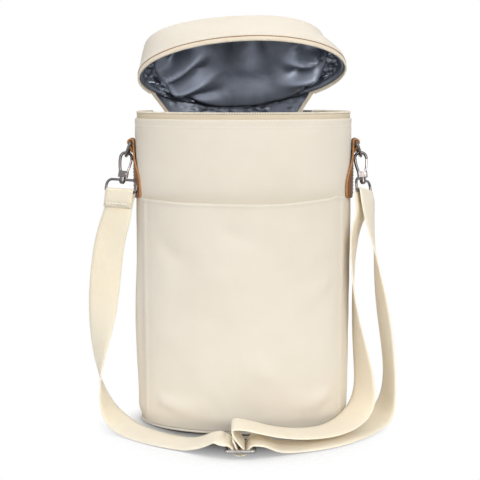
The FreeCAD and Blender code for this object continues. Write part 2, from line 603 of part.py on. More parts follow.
def clip(word, side, lean, loop_turn, leg, half_gap):
    """One ring, hook and strap loop; returns the frame of the webbing's bar in the strap loop."""
    name = word.capitalize()
    loop_level = size["body_height"] - size["loop_drop"]
    loop_centre = Vector(side * (size["body_half_width"] + loop_reach), 0, loop_level)
    hang = Placement(loop_centre, Rotation(BACK, -side * size["ring_lean"]))
    ring = wire_loop(name + "Ring", "ring_half_width", "ring_depth", "ring_corner",
                     "(ring_half_width - ring_corner)", "ring_wire_radius")
    ring.append(foot_bar(name + "Ring", "ring_half_width", "ring_depth", "(ring_half_width - ring_corner)",
                         "ring_wire_radius"))
    keep(word + "_ring", fuse(name + "RingWhole", *ring), hang * Placement(Vector(), Rotation(UP, 90)))
    tip = Rotation(BACK, -side * size[lean]) * Rotation(ACROSS, -size["hook_tip"])
    crossing = Placement(hang.multVec(Vector(0, 0, -size["ring_depth"])), tip)
    keep(word + "_hook", snap_hook(name + "Hook"), crossing)
    keep(word + "_gate", hook_gate(name + "Gate"), crossing)
    keep(word + "_swivel_rivet", swivel_rivet(name + "Rivet"), crossing)
    upright = Rotation(ACROSS, 90)
    gate_pin = primitive("Cylinder", name + "GatePin", (), upright, Radius="gate_pin_radius",
                         Height="2 * hub_half_depth")
    pivot = Vector(size["gate_pivot_offset"], size["hub_half_depth"],
                   hub_top - size["hub_rise"] + size["gate_pivot_height"])
    keep(word + "_gate_pin", gate_pin, crossing * Placement(pivot, upright))
    leaf = primitive("Box", name + "Spring", (), Length="spring_leaf", Width="2 * gate_half_width",
                     Height="spring_rise")
    behind = size["gate_pivot_offset"] - size["gate_eye_radius"] - size["spring_leaf"] - size["pin_clear"]
    seat = Vector(behind, -size["gate_half_width"], pivot.z - size["gate_eye_radius"])
    keep(word + "_gate_spring", leaf, crossing * Placement(seat, Rotation()))
    turned = crossing * Placement(Vector(0, 0, barrel_middle), Rotation(UP, size[loop_turn]))
    keep(word + "_strap_loop", strap_loop(name + "Loop"), turned)
    bar = turned * Placement(Vector(0, 0, -size["loop_depth"]), Rotation(UP, -90))
    fold = webbing_fold(name + "Fold", leg, half_gap, size["loop_wire_radius"])
    keep(word + "_strap_fold", fold, bar)
    return bar


left_bar = clip("left", -1, "hook_lean_left", "loop_turn_left", size["fold_leg"], size["fold_half_gap"])
right_bar = clip("right", 1, "hook_lean_right", "loop_turn_right", size["turn_leg"], size["turn_half_gap"])

# Three-bar slider on the webbing and the webbing's end sewn round its middle bar

slider_centre = Vector(size["slider_x"], size["slider_y"], size["slider_z"])
SLIDER_HALF_WIDTH = "(strap_width / 2 + strap_clear + slider_bar_radius)"
frame_pieces = wire_loop("Slider", "slider_half_length", "2 * " + SLIDER_HALF_WIDTH, "slider_corner",
                         "slider_corner", "slider_bar_radius")
frame_pieces.append(foot_bar("Slider", "slider_half_length", "2 * " + SLIDER_HALF_WIDTH, "slider_corner",
                             "slider_bar_radius"))
frame_pieces.append(primitive("Cylinder", "Slider_middle", ("0", "0", "-2 * " + SLIDER_HALF_WIDTH),
                              Radius="slider_bar_radius", Height="2 * " + SLIDER_HALF_WIDTH))
slider_half = size["strap_width"] / 2 + size["strap_clear"] + size["slider_bar_radius"]
lay_flat = Placement(slider_centre, Rotation(ACROSS, -90)) * Placement(Vector(0, 0, slider_half), Rotation())
keep("strap_slider", fuse("StrapSlider", *frame_pieces), lay_flat)
wrap_turn = Placement(slider_centre, Rotation(BACK, 180 - size["wrap_angle"]))
keep("strap_end_wrap", webbing_fold("EndWrap", size["wrap_leg"], size["fold_half_gap"],
                                    size["slider_bar_radius"]), wrap_turn)

# Webbing runs: places chosen by hand along the webbing, with the heading of its width in degrees

wrap_outer = size["slider_bar_radius"] + size["strap_clear"] + size["strap_thick"]
under_wrap = -(wrap_outer + size["strap_clear"] + size["strap_thick"] / 2)
over_bar = size["slider_bar_radius"] + size["strap_thick"] / 2 + size["strap_hump"]
through = (over_bar + under_wrap) / 2
# places of the webbing in the slider, as shares of the slider's half length
before_share, bar_share, slot_share, under_share = 5 / 4, 4 / 5, 1 / 2, 9 / 25


def at_slider(share, z, heading):
    x = slider_centre.x + share * size["slider_half_length"]
    return (x, slider_centre.y, slider_centre.z + z, heading)


def at_leg(frame, x, z, heading):
    place = frame.multVec(Vector(x, 0, z))
    return (place.x, place.y, place.z, heading)


fold_middle = size["fold_half_gap"] + size["strap_thick"] / 2
turn_middle = size["turn_half_gap"] + size["strap_thick"] / 2
LEFT_ROUTE = [
    at_leg(left_bar, -fold_middle, -size["fold_leg"], -26),
    at_leg(left_bar, -fold_middle, -size["fold_leg"] * 3 / 2, -25),
    (-133, -13, 187, -18), (-136.5, -14, 162, -12), (-139.5, -14.5, 134, -15), (-142, -15, 110, -30),
    (-144.5, -16, 86, -50), (-146, -17, 62, -70), (-146, -18, 40, -85), (-143, -20, 20, -100),
    (-135, -25, 6.5, -118), (-122, -36, 1.4, -130), (-105, -50, 1.3, -128), (-88, -64, 1.3, -122),
    (-70, -75, 1.3, -112), (-53, -83, 1.8, -102), (-41, -89, 6, -96), (-31, -93, 11, -92),
    (-24, -96, 13, -90),
    at_slider(-before_share, over_bar, -90), at_slider(-bar_share, over_bar, -90),
    at_slider(-slot_share, through, -90), at_slider(-under_share, under_wrap, -90),
    at_slider(0, under_wrap, -90),
]
OUTER_ROUTE = [
    at_slider(0, under_wrap, 90), at_slider(under_share, under_wrap, 90), at_slider(slot_share, through, 90),
    at_slider(bar_share, over_bar, 90), at_slider(before_share, over_bar, 91),
    (20, -96.5, 10, 93), (32, -93, 3, 98), (48, -88, 1.3, 105), (66, -82, 1.3, 112), (85, -72.5, 1.3, 121),
    (104, -57, 1.3, 131), (121, -38, 1.6, 136), (134, -25, 5, 135), (142.5, -18, 13, 128),
    (147, -15, 26, 118), (148.5, -14, 44, 110), (147, -13.5, 68, 109), (143.5, -13, 95, 110),
    (139.5, -13, 120, 105), (135.5, -13, 145, 98), (132, -13, 170, 88), (128.5, -13, 193, 77),
    at_leg(right_bar, turn_middle, -size["turn_leg"] * 2, 63),
    at_leg(right_bar, turn_middle, -size["turn_leg"], 62),
]
INNER_ROUTE = [
    at_leg(right_bar, -turn_middle, -size["turn_leg"], 62),
    at_leg(right_bar, -turn_middle, -size["turn_leg"] * 2, 63),
    (110.5, -13, 196, 68), (108.8, -16, 172, 76), (109.2, -17.5, 148, 83), (110.8, -18.5, 125, 91),
    (113.5, -19.5, 102, 100), (117, -20.5, 80, 110), (120.5, -21.5, 58, 118), (122, -23.5, 40, 122),
    (119.5, -29, 26, 128), (112, -39, 16.5, 136), (101, -51, 11.5, 134), (88, -62.5, 9.5, 128),
    (74, -72, 9.5, 122), (58, -80, 11, 113), (42, -87, 14, 106), (26, -92, 18, 100), (11, -95.5, 23, 96),
    (-1, -97.5, 26.5, 92), (-10, -98, 27, 90),
    at_leg(wrap_turn, -fold_middle, -size["wrap_leg"] * 3 / 2, 90),
    at_leg(wrap_turn, -fold_middle, -size["wrap_leg"], 90),
]


def route_points(stations, steps):
    """A smooth run through the stations: quadratic arcs that join the middles of neighbouring spans."""
    rows = [Vector(x, y, z) for x, y, z, heading in stations]
    headings = [heading for x, y, z, heading in stations]
    last = len(rows) - 1
    found = []
    for index in range(1, last):
        ends = []
        for other in (index - 1, index + 1):
            share = 1 if other in (0, last) else 1 / 2
            place = rows[index] + (rows[other] - rows[index]) * share
            ends.append((place, headings[index] + (headings[other] - headings[index]) * share))
        for step in range(steps + (index == last - 1)):
            t = step / steps
            a, b, c = (1 - t) ** 2, 2 * t * (1 - t), t ** 2
            place = ends[0][0] * a + rows[index] * b + ends[1][0] * c
            along = (rows[index] - ends[0][0]) * (1 - t) + (ends[1][0] - rows[index]) * t
            found.append((place, along.normalize(), ends[0][1] * a + headings[index] * b + ends[1][1] * c))
    return found


def webbing_run(label, name, stations):
    half_width, half_thick = size["strap_width"] / 2, size["strap_thick"] / 2
    sections = []
    for place, along, heading in route_points(stations, 2):
        across = Vector(math.cos(math.radians(heading)), math.sin(math.radians(heading)), 0)
        across = (across - along * across.dot(along)).normalize()
        facing = across.cross(along)
        corners = [place + across * (half_width * u) + facing * (half_thick * v)
                   for u, v in ((-1, -1), (1, -1), (1, 1), (-1, 1))]
        sections.append(Part.makePolygon(corners + corners[:1]))
    run = doc.addObject("Part::Feature", name)
    run.Shape = Part.makeLoft(sections, True, True)
    centres = [place for place, along, heading in route_points(stations, 2)]
    length = sum(a.distanceToPoint(b) for a, b in zip(centres, centres[1:]))
    print("%s: %.0f mm of webbing" % (label, length))
    return keep(label, run)


webbing_run("strap_left_run", "LeftRun", LEFT_ROUTE)
webbing_run("strap_outer_run", "OuterRun", OUTER_ROUTE)
webbing_run("strap_inner_run", "InnerRun", INNER_ROUTE)

# Check and write

doc.recompute()
faults = [thing.Name for thing in doc.Objects if {"Invalid", "Error"} & set(thing.State)]
for label, thing in nodes.items():
    if thing.Shape.isNull() or not thing.Shape.isValid() or not thing.Shape.Solids:
        faults.append(label)
if faults:
    raise SystemExit("failed: " + ", ".join(faults))
os.makedirs("parts", exist_ok=True)
for label, thing in nodes.items():
    thing.Shape.exportStep(os.path.join("parts", label + ".step"))
print("%d sub-parts written" % len(nodes))
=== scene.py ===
# %% [markdown]
# # A canvas bottle carrier
# The real thing is a sewn bag: canvas outside, foam in the wall, a film lining inside, a zipped soft lid
# and a webbing strap on two snap hooks. The rigid model gives every piece its size and place. This script
# loads it as a fixed frame and then dresses it: soft pieces are rebuilt as cloth, and metal pieces keep
# their solids and get a finish.

# %% Load the fixed frame
import bpy
import json
import math
import numpy as np
from mathutils import Matrix, Vector, noise


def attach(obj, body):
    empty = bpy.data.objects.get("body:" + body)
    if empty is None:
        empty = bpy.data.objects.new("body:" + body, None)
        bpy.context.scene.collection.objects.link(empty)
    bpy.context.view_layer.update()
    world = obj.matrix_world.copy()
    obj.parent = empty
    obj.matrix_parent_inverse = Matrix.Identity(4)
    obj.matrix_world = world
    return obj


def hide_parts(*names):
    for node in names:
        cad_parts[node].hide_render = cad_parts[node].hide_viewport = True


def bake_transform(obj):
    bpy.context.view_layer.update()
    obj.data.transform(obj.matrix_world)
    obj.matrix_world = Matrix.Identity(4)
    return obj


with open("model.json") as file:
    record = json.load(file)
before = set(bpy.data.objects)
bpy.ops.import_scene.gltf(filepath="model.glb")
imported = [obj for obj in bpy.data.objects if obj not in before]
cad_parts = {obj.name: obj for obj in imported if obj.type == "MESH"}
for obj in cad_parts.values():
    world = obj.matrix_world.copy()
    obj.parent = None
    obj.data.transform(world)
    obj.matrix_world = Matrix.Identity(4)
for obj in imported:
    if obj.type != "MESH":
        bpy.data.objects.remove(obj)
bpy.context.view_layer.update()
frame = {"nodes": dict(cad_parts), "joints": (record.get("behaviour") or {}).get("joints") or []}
nodes = frame["nodes"]
scene = bpy.context.scene
MM = 0.001
print("frame loaded:", len(nodes), "nodes")

# %% [markdown]
# ## Camera
# The photograph looks at the bag a little from above, from about a metre away. A camera could be aimed by
# eye, but measured points of the rim, the base and the clips give its height, tilt and lens, so those are
# typed in.

# %% Camera
CAMERA_TILT = 8.9
camera_data = bpy.data.cameras.new("camera")
camera_data.sensor_width = 36
camera_data.lens = 75.4
camera = bpy.data.objects.new("camera", camera_data)
camera.location = (-0.0034, -1.0, 0.3424)
camera.rotation_euler = (math.radians(90 - CAMERA_TILT), 0, 0)
scene.collection.objects.link(camera)
scene.camera = camera
scene.view_settings.view_transform = "Standard"
print("camera lens", camera_data.lens, "tilted down", CAMERA_TILT, "degrees")

# %% [markdown]
# ## White room
# A product shot like this one stands in white all round. A bright world would do that, but it would
# bleach the cloth. So the world is white only to rays that look at it, from the camera or off metal, and
# lights the cloth more gently and mostly from above. Nodes are set by small helpers, which every material
# below uses too.

# %% Node helpers


def place_node(tree, kind, values=None, **settings):
    """A shader node whose inputs are set to the values, or linked where a value is a socket."""
    node = tree.nodes.new("ShaderNode" + kind)
    for name, value in settings.items():
        setattr(node, name, value)
    for name, value in (values or {}).items():
        if isinstance(value, bpy.types.NodeSocket):
            tree.links.new(value, node.inputs[name])
        else:
            node.inputs[name].default_value = value
    return node


def sum_up(tree, operation, first, second=0.0):
    """The result of one sum."""
    return place_node(tree, "Math", {0: first, 1: second}, operation=operation).outputs[0]


def stretch(tree, value, low, high, new_low=0.0, new_high=1.0):
    """The value, with its span from low to high carried over to new_low and new_high."""
    ends = {"From Min": low, "From Max": high, "To Min": new_low, "To Max": new_high}
    return place_node(tree, "MapRange", {"Value": value, **ends}).outputs[0]


def looked_at(tree):
    """1 for rays from the camera, off metal or through glass, and 0 for those that light the cloth."""
    ray = place_node(tree, "LightPath").outputs
    mirrored = sum_up(tree, "MAXIMUM", ray["Is Glossy Ray"], ray["Is Transmission Ray"])
    return sum_up(tree, "MAXIMUM", ray["Is Camera Ray"], mirrored)


# %% White room
FILL_LEVEL, FILL_ABOVE = 0.3, 0.78
world = bpy.data.worlds.new("studio")
scene.world = world
world.use_nodes = True
sky = world.node_tree
sky.nodes.clear()
white_room = place_node(sky, "Background", {"Color": (1, 1, 1, 1), "Strength": 1.0})
direction = place_node(sky, "TexCoord").outputs["Generated"]
level = place_node(sky, "SeparateXYZ", {0: direction}).outputs["Z"]
overhead = stretch(sky, level, -0.05, 0.6, FILL_LEVEL, FILL_ABOVE)
fill_light = place_node(sky, "Background", {"Color": (0.96, 0.97, 1.0, 1), "Strength": overhead})
room = place_node(sky, "MixShader", {0: looked_at(sky), 1: fill_light.outputs[0], 2: white_room.outputs[0]})
place_node(sky, "OutputWorld", {"Surface": room.outputs[0]})
print("world nodes:", len(sky.nodes))

# %% [markdown]
# ## Lamps and floor
# A large lamp from the front right and a weaker one from the left model the round of the bag, and one
# above it lights the lid. On the floor the front two would wash out the shadow under the bag. Lamps can
# be linked to what they light, so these are kept off the floor, which has a lamp of its own.

# %% Lamps and floor


def softbox(name, place, target, width, power, tint):
    """A rectangular lamp that is aimed at a target."""
    data = bpy.data.lights.new(name, "AREA")
    data.shape = "RECTANGLE"
    data.size = width
    data.size_y = width * 0.8
    data.energy = power
    data.color = tint
    lamp = bpy.data.objects.new(name, data)
    lamp.location = place
    lamp.rotation_euler = (Vector(target) - Vector(place)).to_track_quat("-Z", "Y").to_euler()
    scene.collection.objects.link(lamp)
    return lamp


key_lamp = softbox("key_lamp", (0.5, -1.25, 0.75), (0, 0, 0.17), 0.8, 11.0, (1.0, 0.985, 0.955))
side_lamp = softbox("side_lamp", (-0.95, -0.95, 0.55), (0.03, 0, 0.17), 0.8, 3.4, (0.97, 0.98, 1.0))
softbox("top_lamp", (0, 0.2, 1.5), (0, 0, 0), 1.2, 4, (1, 1, 1))
floor_lamp = softbox("floor_lamp", (-0.05, 0.3, 1.4), (0, -0.05, 0), 1.0, 9, (1, 1, 1))

floor_mesh = bpy.data.meshes.new("floor")
floor_mesh.from_pydata([(-1, -1, 0), (1, -1, 0), (1, 1, 0), (-1, 1, 0)], [], [(0, 1, 2, 3)])
floor = bpy.data.objects.new("floor", floor_mesh)
scene.collection.objects.link(floor)
for lamp, state in ((key_lamp, "EXCLUDE"), (side_lamp, "EXCLUDE"), (floor_lamp, "INCLUDE")):
    lit = bpy.data.collections.new(lamp.name + "_floor")
    lit.objects.link(floor)
    lit.collection_objects[0].light_linking.link_state = state
    lamp.light_linking.receiver_collection = lit

# %% [markdown]
# ## Shared finishes
# Woven cloth, mottled colour and fine grain turn up on several materials, so each is one node group. A
# weave could be an image, but threads are only crossed waves, so a few Math nodes on the cloth's own UVs,
# which are laid out in metres, give them at the true pitch.

# %% Node group: crossed threads


def new_group(name, inputs, outputs):
    """An empty node group with named sockets, and its two end nodes."""
    group = bpy.data.node_groups.new(name, "ShaderNodeTree")
    for label, kind, value in inputs:
        socket = group.interface.new_socket(label, in_out="INPUT", socket_type="NodeSocket" + kind)
        socket.default_value = value
    for label, kind in outputs:
        group.interface.new_socket(label, in_out="OUTPUT", socket_type="NodeSocket" + kind)
    return group, group.nodes.new("NodeGroupInput"), group.nodes.new("NodeGroupOutput")


thread_group, thread_in, thread_out = new_group(
    "Crossed threads",
    [("Warp pitch", "Float", 0.001), ("Weft pitch", "Float", 0.001), ("Unevenness", "Float", 0.3)],
    [("Height", "Float"), ("Gap shade", "Float")])
cloth_uv = place_node(thread_group, "TexCoord").outputs["UV"]
slub = place_node(thread_group, "TexNoise", {"Vector": cloth_uv, "Scale": 260.0, "Detail": 2.0})
slub = sum_up(thread_group, "SUBTRACT", slub.outputs["Fac"], 0.5)
slub = sum_up(thread_group, "MULTIPLY", slub, thread_in.outputs["Unevenness"])
split_uv = place_node(thread_group, "SeparateXYZ", {0: cloth_uv})
waves = []
for axis, pitch in (("X", "Warp pitch"), ("Y", "Weft pitch")):
    turns = sum_up(thread_group, "DIVIDE", split_uv.outputs[axis], thread_in.outputs[pitch])
    turns = sum_up(thread_group, "ADD", turns, sum_up(thread_group, "MULTIPLY", slub, 2.0))
    waves.append(sum_up(thread_group, "SINE", sum_up(thread_group, "MULTIPLY", turns, math.pi)))
crossing = sum_up(thread_group, "MULTIPLY", waves[0], waves[1])
rounded = sum_up(thread_group, "ABSOLUTE", crossing)
lifted = sum_up(thread_group, "ADD", rounded, sum_up(thread_group, "MULTIPLY", crossing, 0.35))
thread_group.links.new(lifted, thread_out.inputs["Height"])
# The gaps where the threads part are darkened in the colour: painted shade.
painted_gap_shade = sum_up(thread_group, "SUBTRACT", 1.0, sum_up(thread_group, "POWER", rounded, 0.35))
thread_group.links.new(painted_gap_shade, thread_out.inputs["Gap shade"])
print("crossed threads:", len(thread_group.nodes), "nodes")

# %% Node group: mottled colour
mottle_group, mottle_in, mottle_out = new_group(
    "Mottled colour and painted shade",
    [("Light", "Color", (0.8, 0.8, 0.8, 1)), ("Dark", "Color", (0.5, 0.5, 0.5, 1)),
     ("Blotches per metre", "Float", 20.0), ("Mask", "Float", 0.0)],
    [("Color", "Color"), ("Fac", "Float")])
solid_place = place_node(mottle_group, "TexCoord").outputs["Object"]
blotch = place_node(mottle_group, "TexNoise", {
    "Vector": solid_place, "Scale": mottle_in.outputs["Blotches per metre"], "Detail": 4.0,
    "Roughness": 0.6}).outputs["Fac"]
# Where a material gives a mask, the colour darkens further towards the dark tone: painted shade.
spread = sum_up(mottle_group, "MAXIMUM", stretch(mottle_group, blotch, 0.3, 0.7), mottle_in.outputs["Mask"])
toned = place_node(mottle_group, "Mix", {
    "Factor": spread, "A": mottle_in.outputs["Light"], "B": mottle_in.outputs["Dark"]}, data_type="RGBA")
mottle_group.links.new(toned.outputs["Result"], mottle_out.inputs["Color"])
mottle_group.links.new(spread, mottle_out.inputs["Fac"])
print("mottled colour:", len(mottle_group.nodes), "nodes")

# %% Node group: fine grain
grain_group, grain_in, grain_out = new_group(
    "Fine grain", [("Cells per metre", "Float", 900.0), ("Depth", "Float", 1.0)],
    [("Height", "Float"), ("Crease shade", "Float")])
grain_place = place_node(grain_group, "TexCoord").outputs["Object"]
cells = place_node(grain_group, "TexVoronoi", {
    "Vector": grain_place, "Scale": grain_in.outputs["Cells per metre"]}, feature="DISTANCE_TO_EDGE")
pebble = stretch(grain_group, cells.outputs["Distance"], 0.0, 0.25)
speck = place_node(grain_group, "TexNoise", {"Vector": grain_place, "Scale": 2600.0, "Detail": 3.0})
grain = sum_up(grain_group, "ADD", sum_up(grain_group, "MULTIPLY", pebble, 0.7),
               sum_up(grain_group, "MULTIPLY", speck.outputs["Fac"], 0.5))
grain = sum_up(grain_group, "MULTIPLY", grain, grain_in.outputs["Depth"])
grain_group.links.new(grain, grain_out.inputs["Height"])
# Where the pebbles meet, the creases give a mask for painted shade.
grain_group.links.new(sum_up(grain_group, "SUBTRACT", 1.0, pebble), grain_out.inputs["Crease shade"])
print("shared groups:", [g.name for g in bpy.data.node_groups])

# %% [markdown]
# ## Cloth materials
# Cotton canvas is matt with a little bloom at grazing angles, so it takes rough shading with some sheen
# and no gloss. Webbing is thicker and lets a little light through. One plain colour would look like
# plastic, so each cloth has two tones in blotches, and the gaps between its threads are darkened as
# painted shade. Colours are written as they should look under plain white light.

# %% Material helpers


def new_material(name, color, roughness, **sockets):
    """A material with its tree and shader. Other sockets are given by name."""
    material = bpy.data.materials.new(name)
    material.use_nodes = True
    tree = material.node_tree
    shader = tree.nodes["Principled BSDF"]
    shader.inputs["Base Color"].default_value = (*color, 1)
    shader.inputs["Roughness"].default_value = roughness
    for label, value in sockets.items():
        shader.inputs[label.replace("_", " ")].default_value = value
    material.diffuse_color = (*color, 1)
    return material, tree, shader


def use_group(tree, group, **values):
    """A shared group, placed in a material with its own values."""
    named = {label.replace("_", " "): value for label, value in values.items()}
    return place_node(tree, "Group", named, node_tree=group)


def mottle(tree, shader, light, dark, blotches, painted_shade=0.0):
    """Give the shader two tones in so many blotches per metre. A mask, where given, darkens it further: that
    darkening is painted shade.
    """
    tone = use_group(tree, mottle_group, Light=(*light, 1), Dark=(*dark, 1), Blotches_per_metre=blotches,
                     Mask=painted_shade)
    tree.links.new(tone.outputs["Color"], shader.inputs["Base Color"])
    return tone


def raise_surface(tree, shader, height, distance, strength=1.0):
    """Give the shader a relief of so many metres."""
    bump = place_node(tree, "Bump", {"Height": height, "Distance": distance, "Strength": strength})
    tree.links.new(bump.outputs["Normal"], shader.inputs["Normal"])


# %% Cloth


def woven(name, light, dark, pitches, depth, roughness, **sockets):
    """A woven cloth: mottled colour, with painted shade in the gaps between its threads."""
    material, tree, shader = new_material(name, light, roughness, **sockets)
    threads = use_group(tree, thread_group, Warp_pitch=pitches[0], Weft_pitch=pitches[1], Unevenness=0.35)
    mottle(tree, shader, light, dark, 14.0, sum_up(tree, "MULTIPLY", threads.outputs["Gap shade"], 0.8))
    raise_surface(tree, shader, threads.outputs["Height"], depth)
    return material


TAPE_WEAVE = ((0.0008, 0.0008), 0.0002, 0.88)
canvas = woven("cream_canvas", (0.83, 0.765, 0.655), (0.785, 0.715, 0.60), (0.00058, 0.00066), 0.00013, 0.92,
               Sheen_Weight=0.12, Specular_IOR_Level=0.25)
webbing = woven("cotton_webbing", (0.975, 0.875, 0.715), (0.94, 0.825, 0.65), (0.0018, 0.0008), 0.0003, 0.9,
                Sheen_Weight=0.12, Specular_IOR_Level=0.25, Subsurface_Weight=0.4,
                Subsurface_Radius=(1.0, 0.8, 0.55), Subsurface_Scale=0.002)
zip_cloth = woven("zip_tape", (0.76, 0.66, 0.505), (0.70, 0.595, 0.435), *TAPE_WEAVE)
# The lid's half of the zip is the same tape as the rim's, made lighter: painted light.
lid_zip_cloth_painted_light = woven("lid_zip_tape", (0.89, 0.775, 0.63), (0.82, 0.70, 0.545), *TAPE_WEAVE)
binding_cloth = woven("brown_binding", (0.40, 0.27, 0.16), (0.32, 0.20, 0.11), *TAPE_WEAVE)

thread, tree, shader = new_material("cotton_thread", (0.95, 0.92, 0.85), 0.8, Sheen_Weight=0.2)
mottle(tree, shader, (0.96, 0.93, 0.86), (0.89, 0.84, 0.75), 400.0)
nylon, tree, shader = new_material("nylon_coil", (0.80, 0.73, 0.60), 0.45)
mottle(tree, shader, (0.82, 0.75, 0.62), (0.72, 0.64, 0.50), 200.0)
print("cloth materials:", len(bpy.data.materials))

# %% [markdown]
# ## Film, leather and metal
# The lining is a soft grey film with broad dull highlights, glossier where it is crumpled; on the fold's
# inside it is a darker copy, which is painted shade. Leather has a pebbled grain on its face, with painted
# shade in the grain's creases, and a raw, paler cut edge. The fittings are dark plated steel, with gates
# and slider a little brighter, and their gloss dulls where they have been handled.

# %% Lining film


def lining_film(name, light, dark, roughness, gloss):
    """A grey film with a faint grain."""
    material, tree, shader = new_material(name, light, roughness, Metallic=0.55, Specular_IOR_Level=gloss)
    mottle(tree, shader, light, dark, 60.0)
    pores = use_group(tree, grain_group, Cells_per_metre=420.0, Depth=0.6)
    raise_surface(tree, shader, pores.outputs["Height"], 0.00012, 0.6)
    return material


film = lining_film("grey_lining", (0.225, 0.25, 0.31), (0.165, 0.187, 0.237), 0.42, 0.6)
crisp_film = lining_film("crumpled_lining", (0.24, 0.265, 0.325), (0.15, 0.17, 0.215), 0.27, 0.7)
# The fold's inside takes a darker copy of the film, which is painted shade.
fold_film_painted_shade = lining_film("fold_lining_painted_shade", (0.13, 0.145, 0.18), (0.08, 0.09, 0.115), 0.42, 0.5)
print("films:", [m.name for m in (film, crisp_film, fold_film_painted_shade)])

# %% Leather
leather, tree, shader = new_material("tan_leather", (0.22, 0.09, 0.028), 0.5, Specular_IOR_Level=0.5)
pores = use_group(tree, grain_group, Cells_per_metre=1100.0, Depth=1.0)
# The grain's creases are darkened in the colour: painted shade.
painted_crease_shade = sum_up(tree, "MULTIPLY", pores.outputs["Crease shade"], 0.6)
mottle(tree, shader, (0.25, 0.10, 0.03), (0.14, 0.052, 0.016), 90.0, painted_crease_shade)
raise_surface(tree, shader, pores.outputs["Height"], 0.00015)

cut_edge, tree, shader = new_material("leather_cut_edge", (0.50, 0.24, 0.08), 0.65)
mottle(tree, shader, (0.52, 0.25, 0.085), (0.34, 0.14, 0.045), 500.0)
fibres = use_group(tree, grain_group, Cells_per_metre=2200.0, Depth=1.0)
raise_surface(tree, shader, fibres.outputs["Height"], 0.0001)
print("leather:", leather.name, cut_edge.name)

# %% Plated steel


def plated(name, light, dark, roughness):
    """Plated steel: small changes of tone, and gloss that dulls with them."""
    material, tree, shader = new_material(name, light, roughness, Metallic=1.0)
    tone = mottle(tree, shader, light, dark, 260.0)
    dull = stretch(tree, tone.outputs["Fac"], 0.0, 1.0, roughness - 0.05, roughness + 0.1)
    tree.links.new(dull, shader.inputs["Roughness"])
    return material


dark_nickel = plated("dark_nickel", (0.19, 0.175, 0.17), (0.1, 0.09, 0.09), 0.24)
bright_nickel = plated("bright_nickel", (0.46, 0.44, 0.43), (0.28, 0.265, 0.265), 0.24)
for label, node in nodes.items():
    node.data.materials.clear()
    node.data.materials.append(bright_nickel if "gate" in label or label == "strap_slider" else dark_nickel)
print("plated nodes:", len(nodes))

# %% [markdown]
# ## Floor paper
# The floor is plain white paper that has to run out into the white room. It fades to clear with distance,
# so that no edge shows. To rays that look at it, it thins out sooner, and only the shadow close to the
# bag is left. A soft lamp alone leaves that shadow too weak, so a contact shadow is also painted into the
# paper's colour within a few centimetres of what stands on it.

# %% Floor paper
SHADOW_KEPT, SHADOW_GONE, PAPER_KEPT, PAPER_GONE, PAINTED_SHADOW_REACH = 0.08, 0.15, 0.2, 0.7, 0.03
paper, tree, shader = new_material("white_floor", (0.95, 0.95, 0.95), 0.9, Specular_IOR_Level=0.0)
spot = place_node(tree, "NewGeometry").outputs["Position"]
far = place_node(tree, "VectorMath", {0: spot}, operation="LENGTH").outputs["Value"]
thin = sum_up(tree, "MULTIPLY", stretch(tree, far, SHADOW_KEPT, SHADOW_GONE), looked_at(tree))
fade = sum_up(tree, "MAXIMUM", stretch(tree, far, PAPER_KEPT, PAPER_GONE), thin)
clear = place_node(tree, "BsdfTransparent")
paper_mix = place_node(tree, "MixShader", {0: fade, 1: shader.outputs[0], 2: clear.outputs[0]})
tree.links.new(paper_mix.outputs[0], tree.nodes["Material Output"].inputs["Surface"])
# Painted contact shadow: the paper's colour darkens where ambient occlusion finds something within reach.
near = place_node(tree, "AmbientOcclusion", {"Distance": PAINTED_SHADOW_REACH}, samples=8).outputs["AO"]
tree.links.new(stretch(tree, near, 0.25, 0.9, 0.05, 0.95), shader.inputs["Base Color"])
floor_mesh.materials.append(paper)
print("materials:", sorted(m.name for m in bpy.data.materials))

# %% [markdown]
# ## Cloth as grids
# A sewn panel is a flat cut that has been bent, so every soft piece here is a grid of points with its own
# flat layout as UVs. Grids keep the weave straight along the cloth. Points are given in millimetres and
# in the bag's frame. The bag's ovals are sampled at even steps along their edge.

# %% Grid helpers


def make_mesh(name, points, faces, corner_uv, materials, face_slots=None):
    """An object from points and flat places in millimetres."""
    mesh = bpy.data.meshes.new(name)
    mesh.from_pydata((np.asarray(points, float) * MM).tolist(), [], faces)
    layer = mesh.uv_layers.new(name="UVMap")
    layer.data.foreach_set("uv", (np.asarray(corner_uv, float) * MM).astype(np.float32).ravel())
    mesh.polygons.foreach_set("use_smooth", [True] * len(faces))
    for material in materials:
        mesh.materials.append(material)
    if face_slots is not None:
        mesh.polygons.foreach_set("material_index", face_slots)
    mesh.update()
    thing = bpy.data.objects.new(name, mesh)
    scene.collection.objects.link(thing)
    return thing


